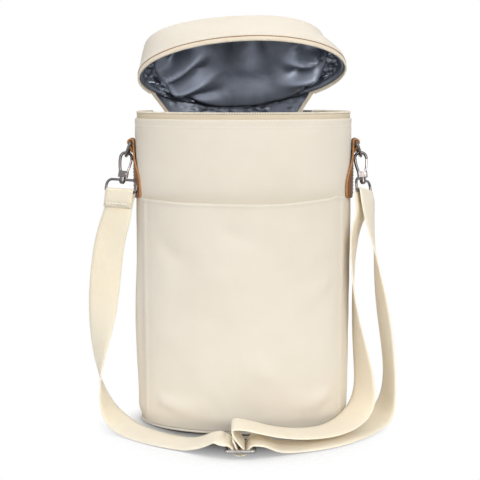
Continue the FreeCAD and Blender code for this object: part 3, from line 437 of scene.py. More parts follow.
def cloth_grid(name, points, along, up, materials, closed=False, slot_of=None, cap=None, flat=None):
    """A grid of rows and columns. along and up are its flat layout.

    A closed grid joins its last column to its first, and a cap fills its last row or both end rows. From
    the row flat[0] on, the layout is the plan flat[1], as for a round panel cut from flat cloth. slot_of
    gives the material of the face at a row and column.
    """
    points = np.asarray(points, float)
    rows, columns = points.shape[:2]
    spans = columns if closed else columns - 1
    faces, corner_uv, face_slots = [], [], []
    for r in range(rows - 1):
        for c in range(spans):
            d = (c + 1) % columns
            faces.append((r * columns + c, r * columns + d, (r + 1) * columns + d, (r + 1) * columns + c))
            if flat and r >= flat[0]:
                low, high = flat[1][r], flat[1][r + 1]
                corner_uv += [low[c], low[d], high[d], high[c]]
            else:
                left, right = along[c], along[c + 1]
                corner_uv += [(left, up[r]), (right, up[r]), (right, up[r + 1]), (left, up[r + 1])]
            face_slots.append(int(slot_of(r, c)) if slot_of else 0)
    for r in {"last": (rows - 1,), "both": (0, rows - 1)}.get(cap, ()):
        order = range(columns) if r else range(columns - 1, -1, -1)
        faces.append(tuple(r * columns + c for c in order))
        corner_uv += [flat[1][r][c] if flat else (along[c], up[r]) for c in order]
        face_slots.append(face_slots[-1])
    return make_mesh(name, points.reshape(-1, 3), faces, corner_uv, materials, face_slots)


def layout(line):
    """Lengths along a line of points."""
    steps = np.linalg.norm(np.diff(np.asarray(line, float), axis=0), axis=1)
    return np.concatenate([[0], np.cumsum(steps)])


# %% Ovals
BODY_A, BODY_B = 107.0, 56.0
FULL_TURN = -360.0


def xyz(x, y, z):
    """Points from three coordinates, any of which may be one number for all."""
    return np.stack(np.broadcast_arrays(x, y, z), axis=-1)


def oval(half_width, half_depth, count, start=90.0, sweep=FULL_TURN):
    """Angles at even steps along an oval, and the length to each step. A full turn leaves out its end."""
    fine = np.radians(np.linspace(start, start + sweep, 4001))
    length = layout(np.stack([half_width * np.cos(fine), half_depth * np.sin(fine)], axis=-1))
    steps = np.linspace(0, length[-1], count + 1)
    angles = np.interp(steps, length, fine)
    return (angles[:-1] if sweep == FULL_TURN else angles), steps


def oval_ring(angles, half_width, half_depth, height):
    """One oval of points at a height."""
    return xyz(half_width * np.cos(angles), half_depth * np.sin(angles), height)


def oval_rows(angles, profile, half_width=BODY_A, half_depth=BODY_B, proud=None):
    """One oval for each (inset, height) of the profile; proud[row, column] pushes it out."""
    rows = []
    for r, (inset, height) in enumerate(profile):
        push = 0 if proud is None else proud[r]
        rows.append(oval_ring(angles, half_width - inset + push, half_depth - inset + push, height))
    return np.array(rows)


def disc_rows(angles, half_width, half_depth, shares, levels):
    """Ovals of smaller and smaller size, each at its own level."""
    pairs = zip(shares, np.broadcast_to(levels, np.shape(shares)))
    return np.array([oval_ring(angles, half_width * k, half_depth * k, height) for k, height in pairs])


print("body oval", round(oval(BODY_A, BODY_B, 10)[1][-1]), "mm round")

# %% Swells and folds


def sampled(points, span, seed, sample):
    """A value of a noise for every point, with features about span millimetres across."""
    spots = np.asarray(points, float).reshape(-1, 3) / span + seed
    return np.array([sample(Vector(p)) for p in spots]).reshape(np.shape(points)[:-1])


def ripple(points, span, seed):
    """Smooth noise between -1 and 1."""
    return sampled(points, span, seed, noise.noise)


def facet(place):
    """How much farther the second nearest cell is than the nearest."""
    near = noise.voronoi(place)[0]
    return near[1] - near[0]


def creases(points, span, seed):
    """Flat facets that meet in sharp folds, as in crumpled film: 0 on the folds, about 1 in the middles."""
    return sampled(points, span, seed, facet)


def ease(values, low, high):
    """0 below low, 1 above high and a smooth rise between them."""
    t = np.clip((np.asarray(values, float) - low) / (high - low), 0, 1)
    return t * t * (3 - 2 * t)


def hump(values, middle, half):
    """1 at the middle, falling smoothly to 0 at half either side."""
    return ease(1 - np.abs(np.asarray(values, float) - middle) / half, 0, 1)


def fold_ridge(x, y, start, end, width, deep):
    """A long soft fold from start to end, deepest near its start."""
    way = np.array(end, float) - np.array(start, float)
    share = ((x - start[0]) * way[0] + (y - start[1]) * way[1]) / (way @ way)
    off = ((x - start[0]) * way[1] - (y - start[1]) * way[0]) / math.sqrt(way @ way)
    fade = ease(share, -0.15, 0.12) * (1 - ease(share, 0.25, 1.0))
    return deep * fade * np.exp(-(off / (width * (0.5 + np.clip(share, 0, 1)))) ** 2)


near_start = float(fold_ridge(12, 0, (0, 0), (60, 0), 5, 10))
print("a fold of 10 mm is", round(near_start, 1), "mm deep near its start")

# %% [markdown]
# ## Body wall
# The wall is one canvas tube, stiffened by foam, with its top edge turned in and topstitched. A cylinder
# would look machined, so the grid gets slow swells about a millimetre deep, a belly low on the left side,
# a foot that turns in to the base seam, and small puckers where the stitching draws the cloth in under
# the zip.

# %% Body wall
FOOT_IN, BELLY, RIM_STITCH = 3.4, 3.4, 301.5


def foot_turn(z):
    """How far the cloth has turned in towards the base seam at height z."""
    return FOOT_IN * (1 - ease(z, 1, 18))


foot_edge = [(4.8, 2.1), (4.2, 2.0), (3.7, 2.5)]
wall_rise = [(float(foot_turn(z)), z) for z in np.linspace(5, 305, 76)]
turned_edge = [(0.08, 306.8), (0.4, 307.7), (0.8, 308), (1.2, 307.7), (1.5, 306.8), (1.55, 300)]
wall_profile = foot_edge + wall_rise + turned_edge
wall_angles, wall_length = oval(BODY_A, BODY_B, 220)
wall_flat = oval_rows(wall_angles, wall_profile)
heights = wall_flat[..., 2]
behind_pocket = (wall_flat[..., 1] < 0) & (np.abs(wall_flat[..., 0]) < 99) & (heights < 236)
swell = 0.95 * ripple(wall_flat, 62, 3.1) + 0.45 * ripple(wall_flat, 24, 9.7)
swell = np.where(behind_pocket, 0.25 * np.minimum(swell, 0), swell)
pucker = np.sin(wall_length[:-1] * (2 * math.pi / 7.2) + 3 * ripple(wall_flat, 30, 1.3))
swell -= 0.35 * hump(heights, RIM_STITCH, 2.2) + 0.22 * (1 + pucker) * hump(heights, 300, 8)
swell += BELLY * hump(heights, 104, 98) * ease(-wall_flat[..., 0], 99, 106.5)
swell *= ease(heights, 2, 12) * (1 - ease(heights, 305.5, 307.5))
wall_points = oval_rows(wall_angles, wall_profile, proud=swell)
body_wall = cloth_grid("body_wall", wall_points, wall_length, layout(wall_profile), [canvas], closed=True)
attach(body_wall, "bag")
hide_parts("body_shell", "wall_foam")
print("body wall faces", len(body_wall.data.polygons))

# %% [markdown]
# ## Base
# The foot is a flat oval of canvas over a board, with a piping sewn into the seam. Piping is cloth folded
# round a cord, so it is a tube along the oval with faint slanting pulls in it.

# %% Base panel
BASE_A, BASE_B = 103.2, 52.2
base_shares = np.array([1.0, 1.0, 0.985, 0.9, 0.75, 0.55, 0.35, 0.15, 0.03])
base_levels = [1.7, 0.4, 0.05, 0, 0, 0, 0, 0, 0]
base_angles, base_length = oval(BASE_A, BASE_B, 120)
base_rows = disc_rows(base_angles, BASE_A, BASE_B, base_shares, base_levels)
base_rows[3:, :, 2] += 0.35 * np.maximum(ripple(base_rows[3:], 50, 4.2), 0)
base_cloth = cloth_grid("base_cloth", base_rows, base_length, 60 * (1 - base_shares), [canvas], closed=True,
                        cap="last", flat=(2, base_rows[..., :2]))
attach(base_cloth, "bag")
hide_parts("base_panel", "base_board", "base_foam")
print("base faces", len(base_cloth.data.polygons))

# %% Piping
PIPE_A, PIPE_B, PIPE_LEVEL, PIPE_RADIUS, PIPE_SIDES = 104.0, 53.0, 2.0, 1.6, 10
pipe_angles, pipe_length = oval(PIPE_A, PIPE_B, 300)
pulls = pipe_length[:-1] * (2 * math.pi / 5.5)
pipe_rows = []
for k in list(range(PIPE_SIDES)) + [0]:
    turn = 2 * math.pi * k / PIPE_SIDES
    reach = PIPE_RADIUS + 0.07 * np.sin(pulls + turn)
    out = reach * math.cos(turn)
    pipe_rows.append(oval_ring(pipe_angles, PIPE_A + out, PIPE_B + out, PIPE_LEVEL + reach * math.sin(turn)))
piping = cloth_grid("piping", pipe_rows, pipe_length, np.linspace(0, 11, 11), [canvas], closed=True)
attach(piping, "bag")
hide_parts("base_piping")
print("piping round the base", round(pipe_length[-1]), "mm")

# %% [markdown]
# ## Front pocket
# A slip pocket is a second layer of canvas, caught in the base seam and down both sides, that bellies
# forward at its open top. Its edge is turned over, so the grid runs up the outside, over a rounded fold
# and down the inside of the hem. Draped cloth could be simulated, but a few slow swells and long folds
# written down give the same look.

# %% Pocket form
POCKET_HALF, POCKET_TOP, POCKET_FOOT, POCKET_GAP, POCKET_BELLY = 98.0, 230.0, 4.0, 0.3, 8.3


def pocket_front(x, z, proud):
    """How far forward the pocket stands at x and z, with proud millimetres added to its inner face."""
    share = np.clip((z - POCKET_FOOT) / (POCKET_TOP - POCKET_FOOT), 0, 1.05)
    width, depth = BODY_A + POCKET_GAP + proud, BODY_B + POCKET_GAP + proud
    low = depth * np.sqrt(1 - (x / width) ** 2)
    deep = BODY_B + POCKET_BELLY + proud
    edge = depth * math.sqrt(1 - (POCKET_HALF / width) ** 2)
    wide = POCKET_HALF / math.sqrt(1 - (edge / deep) ** 2)
    high = deep * np.sqrt(1 - (x / wide) ** 2)
    return low + (high - low) * share


def pocket_lift(x):
    """The hem's ends are caught a little higher than its middle, the right one most."""
    return 1.0 * ease(-x, 40, 98) + 3.2 * ease(x, 30, 98) - 0.6 * hump(x, 10, 60) + 1.3 * hump(x, 89, 6)


POCKET_FOLDS = [
    ((-84, 32), (-30, 18), 11.0, 4.4), ((86, 38), (34, 20), 11.0, 4.2), ((84, 150), (40, 120), 10.0, 2.0),
    ((-80, 190), (-40, 150), 11.0, -2.2), ((-20, 205), (30, 180), 9.0, -1.6),
    ((30, 60), (-20, 80), 12.0, 1.6)]
HEM_LEVEL = 222
pocket_x = np.concatenate([[-98.6, -98.2], np.linspace(-97, 97, 110), [98.2, 98.6]])
pocket_length = layout(np.stack([pocket_x, pocket_front(pocket_x, 120.0, 1.4)], axis=-1))
pocket_profile = [(1.4, z) for z in np.linspace(POCKET_FOOT, 216, 54)]
pocket_profile += [
    (1.4, 219), (1.4, HEM_LEVEL), (1.45, 225), (1.6, 226.4), (2.1, 227.4), (2.4, 228.6), (2.1, 229.7),
    (1.4, 230.1), (0.7, 229.6), (0.35, 228), (0.3, 224), (0.3, 217), (0.75, 216.2)]
pocket_rows = []
for proud, z in pocket_profile:
    lift = pocket_lift(pocket_x) * ease(z, 60, 230)
    pocket_rows.append(xyz(pocket_x, foot_turn(z) - pocket_front(pocket_x, z, proud), z + lift))
pocket_points = np.array(pocket_rows)
print("pocket cut", round(pocket_length[-1]), "mm wide")

# %% Pocket cloth
pocket_z = pocket_points[..., 2]
from_middle = np.abs(pocket_points[..., 0])
drape = 1.8 * ripple(pocket_points * np.array([1, 1, 0.55]), 38, 6.4) + 0.6 * ripple(pocket_points, 17, 2.2)
for fold in POCKET_FOLDS:
    drape = drape + fold_ridge(pocket_points[..., 0], pocket_z, *fold)
drape = np.maximum(drape, -0.2 - 5 * ease(pocket_z, 60, 220))
pocket_points[..., 1] -= drape * ease(pocket_z, 4, 26) * (1 - ease(from_middle, 80, 97))
seam_dip = 0.7 * hump(from_middle, 93.5, 2.5) - 1.3 * hump(from_middle, 97, 2.5)
outside = np.array([proud > 1 for proud, z in pocket_profile])[:, None]
pocket_points[..., 1] += np.where(outside, seam_dip * ease(pocket_z, 6, 20), 0)
pocket = cloth_grid("pocket", pocket_points, pocket_length, layout(pocket_profile), [canvas])
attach(pocket, "bag")
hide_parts("front_pocket", "pocket_hem")
print("pocket faces", len(pocket.data.polygons))

# %% [markdown]
# ## Zip
# The zip's tape is sewn behind the top edge and stands up round the rim, with the coil along its edge.
# The coil is a wound filament: a row of small rounded loops reads as one, and is far lighter than a true
# helix. The lid's half of the zip is made shut, above the rim, and then turned up with the lid.

# %% Zip tapes
LID_OPEN, LID_BAND_FOOT, LID_TOP = 38.0, 321.4, 358.0
LID_A, LID_B = BODY_A - 3.2, BODY_B - 3.2
FOLD_LEFT, FOLD_RIGHT = -80.0, 60.0
TAPE_WAVE = np.array([0.12, 0.12, 0.072])
lid_hinge = next(joint for joint in frame["joints"] if joint["name"] == "lid_hinge")


def lid_place(points):
    """Turn points of the shut lid up about the fold line to the half-open place in which it stands."""
    pivot = np.array(lid_hinge["pos_m"]) / MM
    turn = np.array(Matrix.Rotation(math.radians(LID_OPEN), 3, Vector(lid_hinge["axis"])))
    return (np.asarray(points, float) - pivot) @ turn.T + pivot


def open_oval(half_width, half_depth, count, past=0.3):
    """An oval that is open at the back between the zip's two ends, and past millimetres beyond them."""
    right = math.degrees(math.acos((FOLD_RIGHT + past) / half_width))
    left = math.degrees(math.acos((FOLD_LEFT - past) / half_width))
    return oval(half_width, half_depth, count, start=right, sweep=-(360 + right - left))


tape_profile = [
    (1.95, 300), (1.85, 306), (1.8, 310), (1.75, 312.4), (2.1, 313), (2.7, 313), (3.0, 312.4), (3.0, 306),
    (2.9, 300)]
tape_angles, tape_length = open_oval(105.2, 54.2, 200)
tape_rows = oval_rows(tape_angles, tape_profile)
tape_rows += ripple(tape_rows, 14, 8.8)[..., None] * TAPE_WAVE
rim_tape = cloth_grid("rim_tape", tape_rows, tape_length, layout(tape_profile), [zip_cloth])
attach(rim_tape, "bag")
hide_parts("rim_zip_tape")

lid_tape_profile = [
    (3.45, 322.4), (3.4, 320), (3.4, 318), (3.7, 317.4), (4.3, 317.4), (4.6, 318), (4.6, 321.4)]
lid_tape_angles, lid_tape_length = open_oval(103.6, 52.6, 200, past=13.2)
lid_tape_rows = oval_rows(lid_tape_angles, lid_tape_profile)
lid_tape_rows += ripple(lid_tape_rows, 14, 5.8)[..., None] * TAPE_WAVE
lid_tape = cloth_grid("lid_tape", lid_place(lid_tape_rows), lid_tape_length, layout(lid_tape_profile),
                      [lid_zip_cloth_painted_light])
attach(lid_tape, "soft_lid")
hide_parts("lid_zip_tape")
print("zip tape round the rim", round(tape_length[-1]), "mm")

# %% Zip coils
LID_COIL_LOW, LID_COIL_HIGH = 315.4, 317.35
LOOP_OUTLINE = [(-1.05, 0.0), (-1.0, 0.55), (-0.55, 0.95), (0.55, 0.95), (1.0, 0.55), (1.05, 0.0)]
LOOP_SLICES = ((-0.62, 0.8), (-0.3, 1.0), (0.3, 1.0), (0.62, 0.8))


def coil_loops(name, half_width, half_depth, low, high, past, turn=None):
    """The zip's coil as a row of rounded loops over the tape's edge."""
    angles = open_oval(half_width, half_depth, 220, past)[0]
    points, faces = [], []
    for angle in angles:
        normal = Vector((math.cos(angle) / half_width, math.sin(angle) / half_depth, 0)).normalized()
        along = Vector((-normal.y, normal.x, 0))
        middle = Vector((half_width * math.cos(angle), half_depth * math.sin(angle), low))
        start = len(points)
        for side, grow in LOOP_SLICES:
            for out, rise in LOOP_OUTLINE:
                lift = Vector((0, 0, (high - low) * rise * grow))
                points.append(middle + along * side + normal * out * grow + lift)
        for k in range(3):
            for m in range(5):
                a = start + k * 6 + m
                faces.append((a, a + 1, a + 7, a + 6))
        faces.append(tuple(start + m for m in reversed(range(6))))
        faces.append(tuple(start + 18 + m for m in range(6)))
        faces.append(tuple(start + m for m in (5, 0, 6, 12, 18, 23, 17, 11)))
    corner_uv = [(points[i].x, points[i].z) for face in faces for i in face]
    placed = np.array([list(p) for p in points])
    return make_mesh(name, turn(placed) if turn else placed, faces, corner_uv, [nylon])


def lid_coil_turn(points):
    """Turn the loops over, so that they point down, and take them to the lid."""
    flipped = points.copy()
    flipped[:, 2] = LID_COIL_HIGH + LID_COIL_LOW - flipped[:, 2]
    return lid_place(flipped)


rim_coil = coil_loops("rim_coil", 104.6, 53.6, 313.05, 315, 12.0)
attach(rim_coil, "bag")
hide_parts("rim_zip_coil")

lid_coil = coil_loops("lid_coil", 103.0, 52.0, LID_COIL_LOW, LID_COIL_HIGH, 14.0, lid_coil_turn)
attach(lid_coil, "soft_lid")
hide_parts("lid_zip_coil")
print("coil faces", len(rim_coil.data.polygons) + len(lid_coil.data.polygons))

# %% [markdown]
# ## Lid
# The lid is a shallow canvas cap: a band and a top panel, padded with foam, seamed with a soft round
# edge. It is built shut, where its sizes are easy to give, and then turned up about its fold line. A used
# lid doesn't stand true: its band leans in, and its right end has gone a little slack.

# %% Lid form
LID_ROUND, LID_LEAN, LID_SHIFT, LID_CORNER, LID_SLACK = 7.0, 9.0, 3.0, 0.05, 7.0
LID_STITCH = 325.5


def stood_up(points):
    """0 at the foot of the lid's band and 1 near its top."""
    return ease(points[..., 2], LID_BAND_FOOT + 2, LID_TOP - 6)


def slacken(points):
    """The lid's right end has lost some of its stand: it leans in, more the higher it is."""
    points[..., 0] -= LID_SLACK * stood_up(points) * ease(points[..., 0], 5, 85)


lid_angles, lid_length = oval(LID_A, LID_B, 220)
lid_profile = [(i, LID_BAND_FOOT + h) for i, h in ((1.5, 2.1), (1.3, 0.6), (0.8, 0), (0.25, 0.1), (0, 0.9))]
lid_profile += [(LID_LEAN * (h / 29) ** 1.25, LID_BAND_FOOT + h) for h in np.linspace(2.6, 28.5, 15)]
for a in np.radians(np.linspace(4, 90, 10)):
    inset = LID_LEAN + LID_ROUND * (1 - math.cos(a))
    lid_profile.append((inset, LID_TOP - LID_ROUND * (1 - math.sin(a))))
lid_shares = np.array([0.985, 0.96, 0.92, 0.86, 0.78, 0.68, 0.56, 0.42, 0.27, 0.12, 0.03])
top_a, top_b = LID_A - LID_LEAN - LID_ROUND, LID_B - LID_LEAN - LID_ROUND
lid_top_rows = disc_rows(lid_angles, top_a, top_b, lid_shares, LID_TOP + 1.2 * (1 - lid_shares * lid_shares))
lid_rows = np.concatenate([oval_rows(lid_angles, lid_profile, LID_A, LID_B), lid_top_rows])
lid_heights = lid_rows[..., 2].copy()
lid_rise = stood_up(lid_rows)
fuller = 1 + LID_CORNER * lid_rise * np.sin(2 * lid_angles) ** 2
lid_rows[..., 0] = lid_rows[..., 0] * fuller - LID_SHIFT * lid_rise
lid_rows[..., 1] *= fuller
slacken(lid_rows)
print("lid rows", len(lid_rows))

# %% Lid canvas
lid_swell = 0.8 * ripple(lid_rows, 45, 7.7) + 0.3 * ripple(lid_rows, 18, 5.1)
lid_out = xyz(np.cos(lid_angles), np.sin(lid_angles) * 0.9, 0)
on_band = ease(lid_heights, 322, 328) * (1 - ease(lid_heights, 350, LID_TOP - 0.3))
lid_wave = 1 + 0.4 * np.sin(lid_length[:-1] * (2 * math.pi / 6))
lid_seam = -0.35 * hump(lid_heights, LID_STITCH, 1.6) * lid_wave
lid_rows += lid_out[None] * (np.minimum(lid_swell, 0.3) * on_band + lid_seam)[..., None]
lid_rows[..., 2] += 0.7 * ripple(lid_rows, 40, 2.9) * ease(lid_heights, LID_TOP - 0.4, LID_TOP)
lid_up = layout(lid_profile)
lid_up = np.concatenate([lid_up, lid_up[-1] + 50 * (1 - lid_shares)])
lid_points = lid_place(lid_rows)
lid_canvas = cloth_grid("lid_canvas", lid_points, lid_length, lid_up, [canvas], closed=True, cap="last",
                        flat=(len(lid_profile), lid_rows[..., :2]))
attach(lid_canvas, "soft_lid")
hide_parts("lid_band", "lid_top_panel", "lid_foam", "lid_band_foam")
print("lid canvas faces", len(lid_canvas.data.polygons))

# %% Seam cord under the lid band
seam_steps = ((-0.05, 0.1), (-0.2, -0.25), (-0.1, -0.7), (0.3, -0.9), (0.6, -0.5))
seam_profile = [(inset, LID_BAND_FOOT + h) for inset, h in seam_steps]
seam_angles, seam_length = oval(LID_A, LID_B, 240)
seam_rows = oval_rows(seam_angles, seam_profile, LID_A, LID_B)
lid_seam_edge = cloth_grid("lid_seam_edge", lid_place(seam_rows), seam_length, layout(seam_profile),
                           [binding_cloth], closed=True)
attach(lid_seam_edge, "soft_lid")
print("lid seam", round(seam_length[-1]), "mm round")

# %% [markdown]
# ## Lid lining
# The film inside the lid hangs loose: a broad panel that sags towards the fold line in soft folds, and a
# crumpled strip between it and the rim. Crumpled film breaks into flat facets with sharp edges, which a
# Voronoi pattern has too, so the strip is pushed about by one, and the panel only by slow swells and a
# few long folds.

# %% Lid lining panel
PANEL_A, PANEL_B, PANEL_BACK, PANEL_LEVEL = 88.0, 41.5, 4.0, 350.5
PANEL_SAG, PANEL_DROP, PANEL_TUCK = 32.0, 9.0, 8.0
PANEL_FOLDS = [
    ((-80, 13), (-26, -12), 6.0, 14.0), ((-80, 20), (-28, 0), 3.4, -9.0), ((-78, 27), (-16, 13), 4.4, 10.0),
    ((-60, 33), (-8, 24), 3.6, -5.0), ((80, -2), (36, 10), 5.0, 14.0), ((80, 7), (40, 18), 3.4, -8.0),
    ((76, -16), (52, -2), 4.0, -7.0), ((78, 18), (28, 24), 6.0, 10.0), ((-76, -14), (-58, -34), 6.0, 11.0),
    ((-70, -4), (-44, -22), 4.0, -6.0), ((14, -38), (48, -22), 6.0, 10.0), ((70, -20), (46, -30), 5.0, 11.0),
    ((-14, -38), (-6, 10), 9.0, 7.0), ((12, -30), (14, 14), 8.0, -6.0)]


def panel_height(x, y, share):
    """Where the loose panel hangs below the lid's foam. Over the fold its edge turns back under."""
    sag = 2.0 + PANEL_SAG * ease(y, -34, 48) + PANEL_DROP * ease(y, 14, 44)
    for fold in PANEL_FOLDS:
        sag = sag + fold_ridge(x, y, *fold)
    return PANEL_LEVEL - sag + PANEL_TUCK * ease(y, 6, 34) * ease(share, 0.84, 1.0) ** 2


panel_angles, panel_length = oval(PANEL_A, PANEL_B, 180)
panel_shares = np.concatenate([[1.0, 0.985], np.linspace(0.96, 0.04, 36)])
panel_rows = []
for k in panel_shares:
    x, y = PANEL_A * k * np.cos(panel_angles), PANEL_BACK + PANEL_B * k * np.sin(panel_angles)
    panel_rows.append(xyz(x, y, panel_height(x, y, k)))
panel_points = np.array(panel_rows)
slacken(panel_points)
panel_points[..., 2] += 1.9 * ripple(panel_points, 27, 1.9) + 0.8 * (creases(panel_points, 32, 4.4) - 0.4)
panel_points[0, :, 2] += 1.6
panel_points[1, :, 2] += 0.7
lid_panel = cloth_grid("lid_lining", lid_place(panel_points), panel_length, 65 * (1 - panel_shares), [film],
                       closed=True, cap="last", flat=(0, panel_points[..., :2]))
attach(lid_panel, "soft_lid")
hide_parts("lid_lining_panel")
print("lining panel faces", len(lid_panel.data.polygons))

# %% Crumpled strip and lid binding
STRIP_A, STRIP_B, STRIP_ROWS, CRUMPLE = 98.6, 47.6, 23, 6.4
strip_angles, strip_length = oval(95, 45, 420)
strip_x, strip_y = np.cos(strip_angles), np.sin(strip_angles)
panel_edge = panel_height(PANEL_A * strip_x, PANEL_BACK + PANEL_B * strip_y, 1.0) + 1.6
strip_rows = []
for share in np.linspace(0, 1, STRIP_ROWS):
    inward = share ** 1.4
    x = (STRIP_A + (PANEL_A - STRIP_A) * inward) * strip_x
    y = (STRIP_B + (PANEL_B - STRIP_B) * inward) * strip_y + PANEL_BACK * inward
    z = LID_BAND_FOOT + (panel_edge - LID_BAND_FOOT) * share + 3.0 * math.sin(math.pi * share)
    strip_rows.append(xyz(x, y, z))
strip_points = np.array(strip_rows)
slacken(strip_points)
rim_x, rim_y = strip_points[0, :, 0], strip_points[0, :, 1]
at_fold = (rim_y > 0) & (rim_x > FOLD_LEFT - 4) & (rim_x < FOLD_RIGHT + 4)
strip_points[:, :, 2] -= at_fold * np.linspace(5.0, 0, STRIP_ROWS)[:, None]
crumple = CRUMPLE * (creases(strip_points * np.array([1, 1, 1.2]), 8, 2.5) - 0.35)
crumple += 1.6 * ripple(strip_points, 5, 3.3)
crumple *= np.sin(math.pi * np.linspace(0, 1, STRIP_ROWS))[:, None] ** 0.6
strip_points -= xyz(crumple * strip_x, crumple * strip_y, 0.8 * crumple)
strip_up = np.linspace(0, 20, STRIP_ROWS)
lid_strip = cloth_grid("lid_lining_strip", lid_place(strip_points), strip_length, strip_up, [crisp_film],
                       closed=True)
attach(lid_strip, "soft_lid")
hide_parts("lid_lining_band")

bind_steps = ((8.75, 0.2), (8.4, -2), (7.2, -2.9), (5.6, -2.9), (4.9, -2), (4.8, 0))
lid_bind_profile = [(inset, LID_BAND_FOOT + h) for inset, h in bind_steps]
lid_bind_angles, lid_bind_length = open_oval(98.0, 47.0, 160, past=-2.0)
lid_bind_rows = oval_rows(lid_bind_angles, lid_bind_profile)
lid_bind = cloth_grid("lid_bind", lid_place(lid_bind_rows), lid_bind_length, layout(lid_bind_profile),
                      [film])
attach(lid_bind, "soft_lid")
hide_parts("lid_binding")
print("crumpled strip faces", len(lid_strip.data.polygons))

# %% [markdown]
# ## Inside of the bag
# The same film lines the wall and floor, a little crumpled. A padded divider stands between the two
# bottles. It swells between its edges, which are sewn flat.

# %% Wall lining, floor lining and rim binding
FLOOR_A, FLOOR_B, FLOOR_LEVEL = 99.5, 48.5, 9.75
lining_profile = [(7.4, 10.2), (7.3, 14)] + [(7.3, z) for z in np.linspace(20, 290, 60)]
lining_profile += [(7.2, 296), (6.9, 298.6)]
lining_angles, lining_length = oval(99.7, 48.7, 240)
lining_flat = oval_rows(lining_angles, lining_profile)
lining_push = -1.8 * (creases(lining_flat * np.array([1, 1, 0.6]), 24, 7.5) - 0.2)
lining_push -= 0.5 * (1 + ripple(lining_flat, 9, 1.1))
lining_push *= ease(lining_flat[..., 2], 9, 24) * (1 - ease(lining_flat[..., 2], 285, 298))
lining_rows = oval_rows(lining_angles, lining_profile, proud=lining_push)
wall_lining = cloth_grid("wall_lining", lining_rows, lining_length, layout(lining_profile), [film],
                         closed=True)
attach(wall_lining, "bag")
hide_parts("lining_wall")

floor_shares = np.linspace(1.0, 0.04, 22)
floor_rows = disc_rows(lining_angles[::2], FLOOR_A, FLOOR_B, floor_shares, FLOOR_LEVEL)
floor_rows[1:, :, 2] += 0.8 * np.abs(creases(floor_rows[1:], 26, 3.7)) * (1 - floor_shares[1:, None] ** 6)
floor_lining = cloth_grid("floor_lining", floor_rows, lining_length[::2], 70 * (1 - floor_shares), [film],
                          closed=True, cap="last", flat=(0, floor_rows[..., :2]))
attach(floor_lining, "bag")
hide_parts("lining_floor")

rim_bind_profile = [
    (7.0, 298.2), (7.4, 299.4), (7.3, 301.2), (6.2, 302.0), (4.2, 302.0), (3.3, 301.3), (3.25, 299.2)]
bind_angles, bind_length = oval(101, 50, 200)
rim_bind = cloth_grid("rim_bind", oval_rows(bind_angles, rim_bind_profile), bind_length,
                      layout(rim_bind_profile), [binding_cloth], closed=True)
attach(rim_bind, "bag")
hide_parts("rim_binding")
print("wall lining faces", len(wall_lining.data.polygons))

# %% Padded divider
DIVIDER_FOOT, DIVIDER_TOP, DIVIDER_HALF, DIVIDER_CORNER, DIVIDER_ROWS = 10.0, 229.6, 48.0, 12.0, 49
one_way = np.linspace(-DIVIDER_HALF, DIVIDER_HALF, 33)
outline_y = np.concatenate([one_way, one_way[::-1]])
outline_side = np.concatenate([np.ones(33), -np.ones(33)])
divider_rows = []
for z in np.linspace(DIVIDER_FOOT, DIVIDER_TOP, DIVIDER_ROWS):
    down = max(0.0, z - (DIVIDER_TOP - DIVIDER_CORNER))
    narrow = DIVIDER_CORNER - math.sqrt(max(0.0, DIVIDER_CORNER ** 2 - down ** 2))
    edge = np.minimum(DIVIDER_HALF - np.abs(outline_y), min(z - DIVIDER_FOOT, DIVIDER_TOP - z))
    thick = 0.35 + 1.75 * np.sqrt(np.clip(edge / 9, 0, 1)) - 0.6 * hump(edge, 4, 1.6)
    divider_rows.append(xyz(outline_side * thick, outline_y * (DIVIDER_HALF - narrow) / DIVIDER_HALF, z))
divider_points = np.array(divider_rows)
divider_points[..., 0] += outline_side * 0.25 * ripple(divider_points, 16, 5.5)
divider = cloth_grid("divider", divider_points, np.concatenate([outline_y, outline_y[:1]]) + 60,
                     np.linspace(0, 220, DIVIDER_ROWS), [film], closed=True)
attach(divider, "bag")
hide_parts("bottle_divider")
print("divider faces", len(divider.data.polygons))

# %% [markdown]
# ## Fold at the back
# Between the zip's two ends the lid and the body share one plain piece of cloth. It has to bend as the
# lid moves, so it is one grid that follows the bag at its foot and the lid at its top. Its outside is
# canvas and its inside is lining, with tape along both ends.

# %% Fold cloth
FOLD_SPREAD, FOLD_COLUMNS = 13.0, 71
fold_x = np.linspace(FOLD_LEFT, FOLD_RIGHT, FOLD_COLUMNS)
fold_lid_x = np.linspace(FOLD_LEFT - FOLD_SPREAD, FOLD_RIGHT + FOLD_SPREAD, FOLD_COLUMNS)
fold_layers = []
for inset_bag, inset_lid in ((1.9, 3.45), (3.15, 4.7)):
    bag_y = (BODY_B - inset_bag) * np.sqrt(1 - (fold_x / (BODY_A - inset_bag)) ** 2)
    lid_y = (BODY_B - inset_lid) * np.sqrt(1 - (fold_lid_x / (BODY_A - inset_lid)) ** 2)
    low = [xyz(fold_x, bag_y, z) for z in (299.4, 303, 307, 310.5, 312.6)]
    high = [lid_place(xyz(fold_lid_x, lid_y, z)) for z in (317.6, 319, 320.4, 322)]
    a, b, c, d = low[-2], low[-1], high[0], high[1]
    bend = []
    for t in np.linspace(0.1, 0.9, 9):
        bend.append(b * (1 - t) + c * t + ((b - a) * (1 - t) + (c - d) * t) * 0.8 * t * (1 - t))
    fold_layers.append(np.array(low + bend + high))
fold_points = np.concatenate([fold_layers[0], fold_layers[1][::-1]])
fold_points[3:16, :, 1] += 0.3 * ripple(fold_points[3:16], 9, 2.1)
fold_points[-16:-3, :, 1] -= 2.4 * np.maximum(creases(fold_points[-16:-3], 8, 4.6) - 0.12, 0)
fold_rows = len(fold_points)


def fold_slot(r, c):
    """Tape at both ends, and otherwise canvas outside and film inside, darkened there as painted shade."""
    at_end = c < 2 or c > FOLD_COLUMNS - 4
    return 2 if at_end else r >= fold_rows // 2


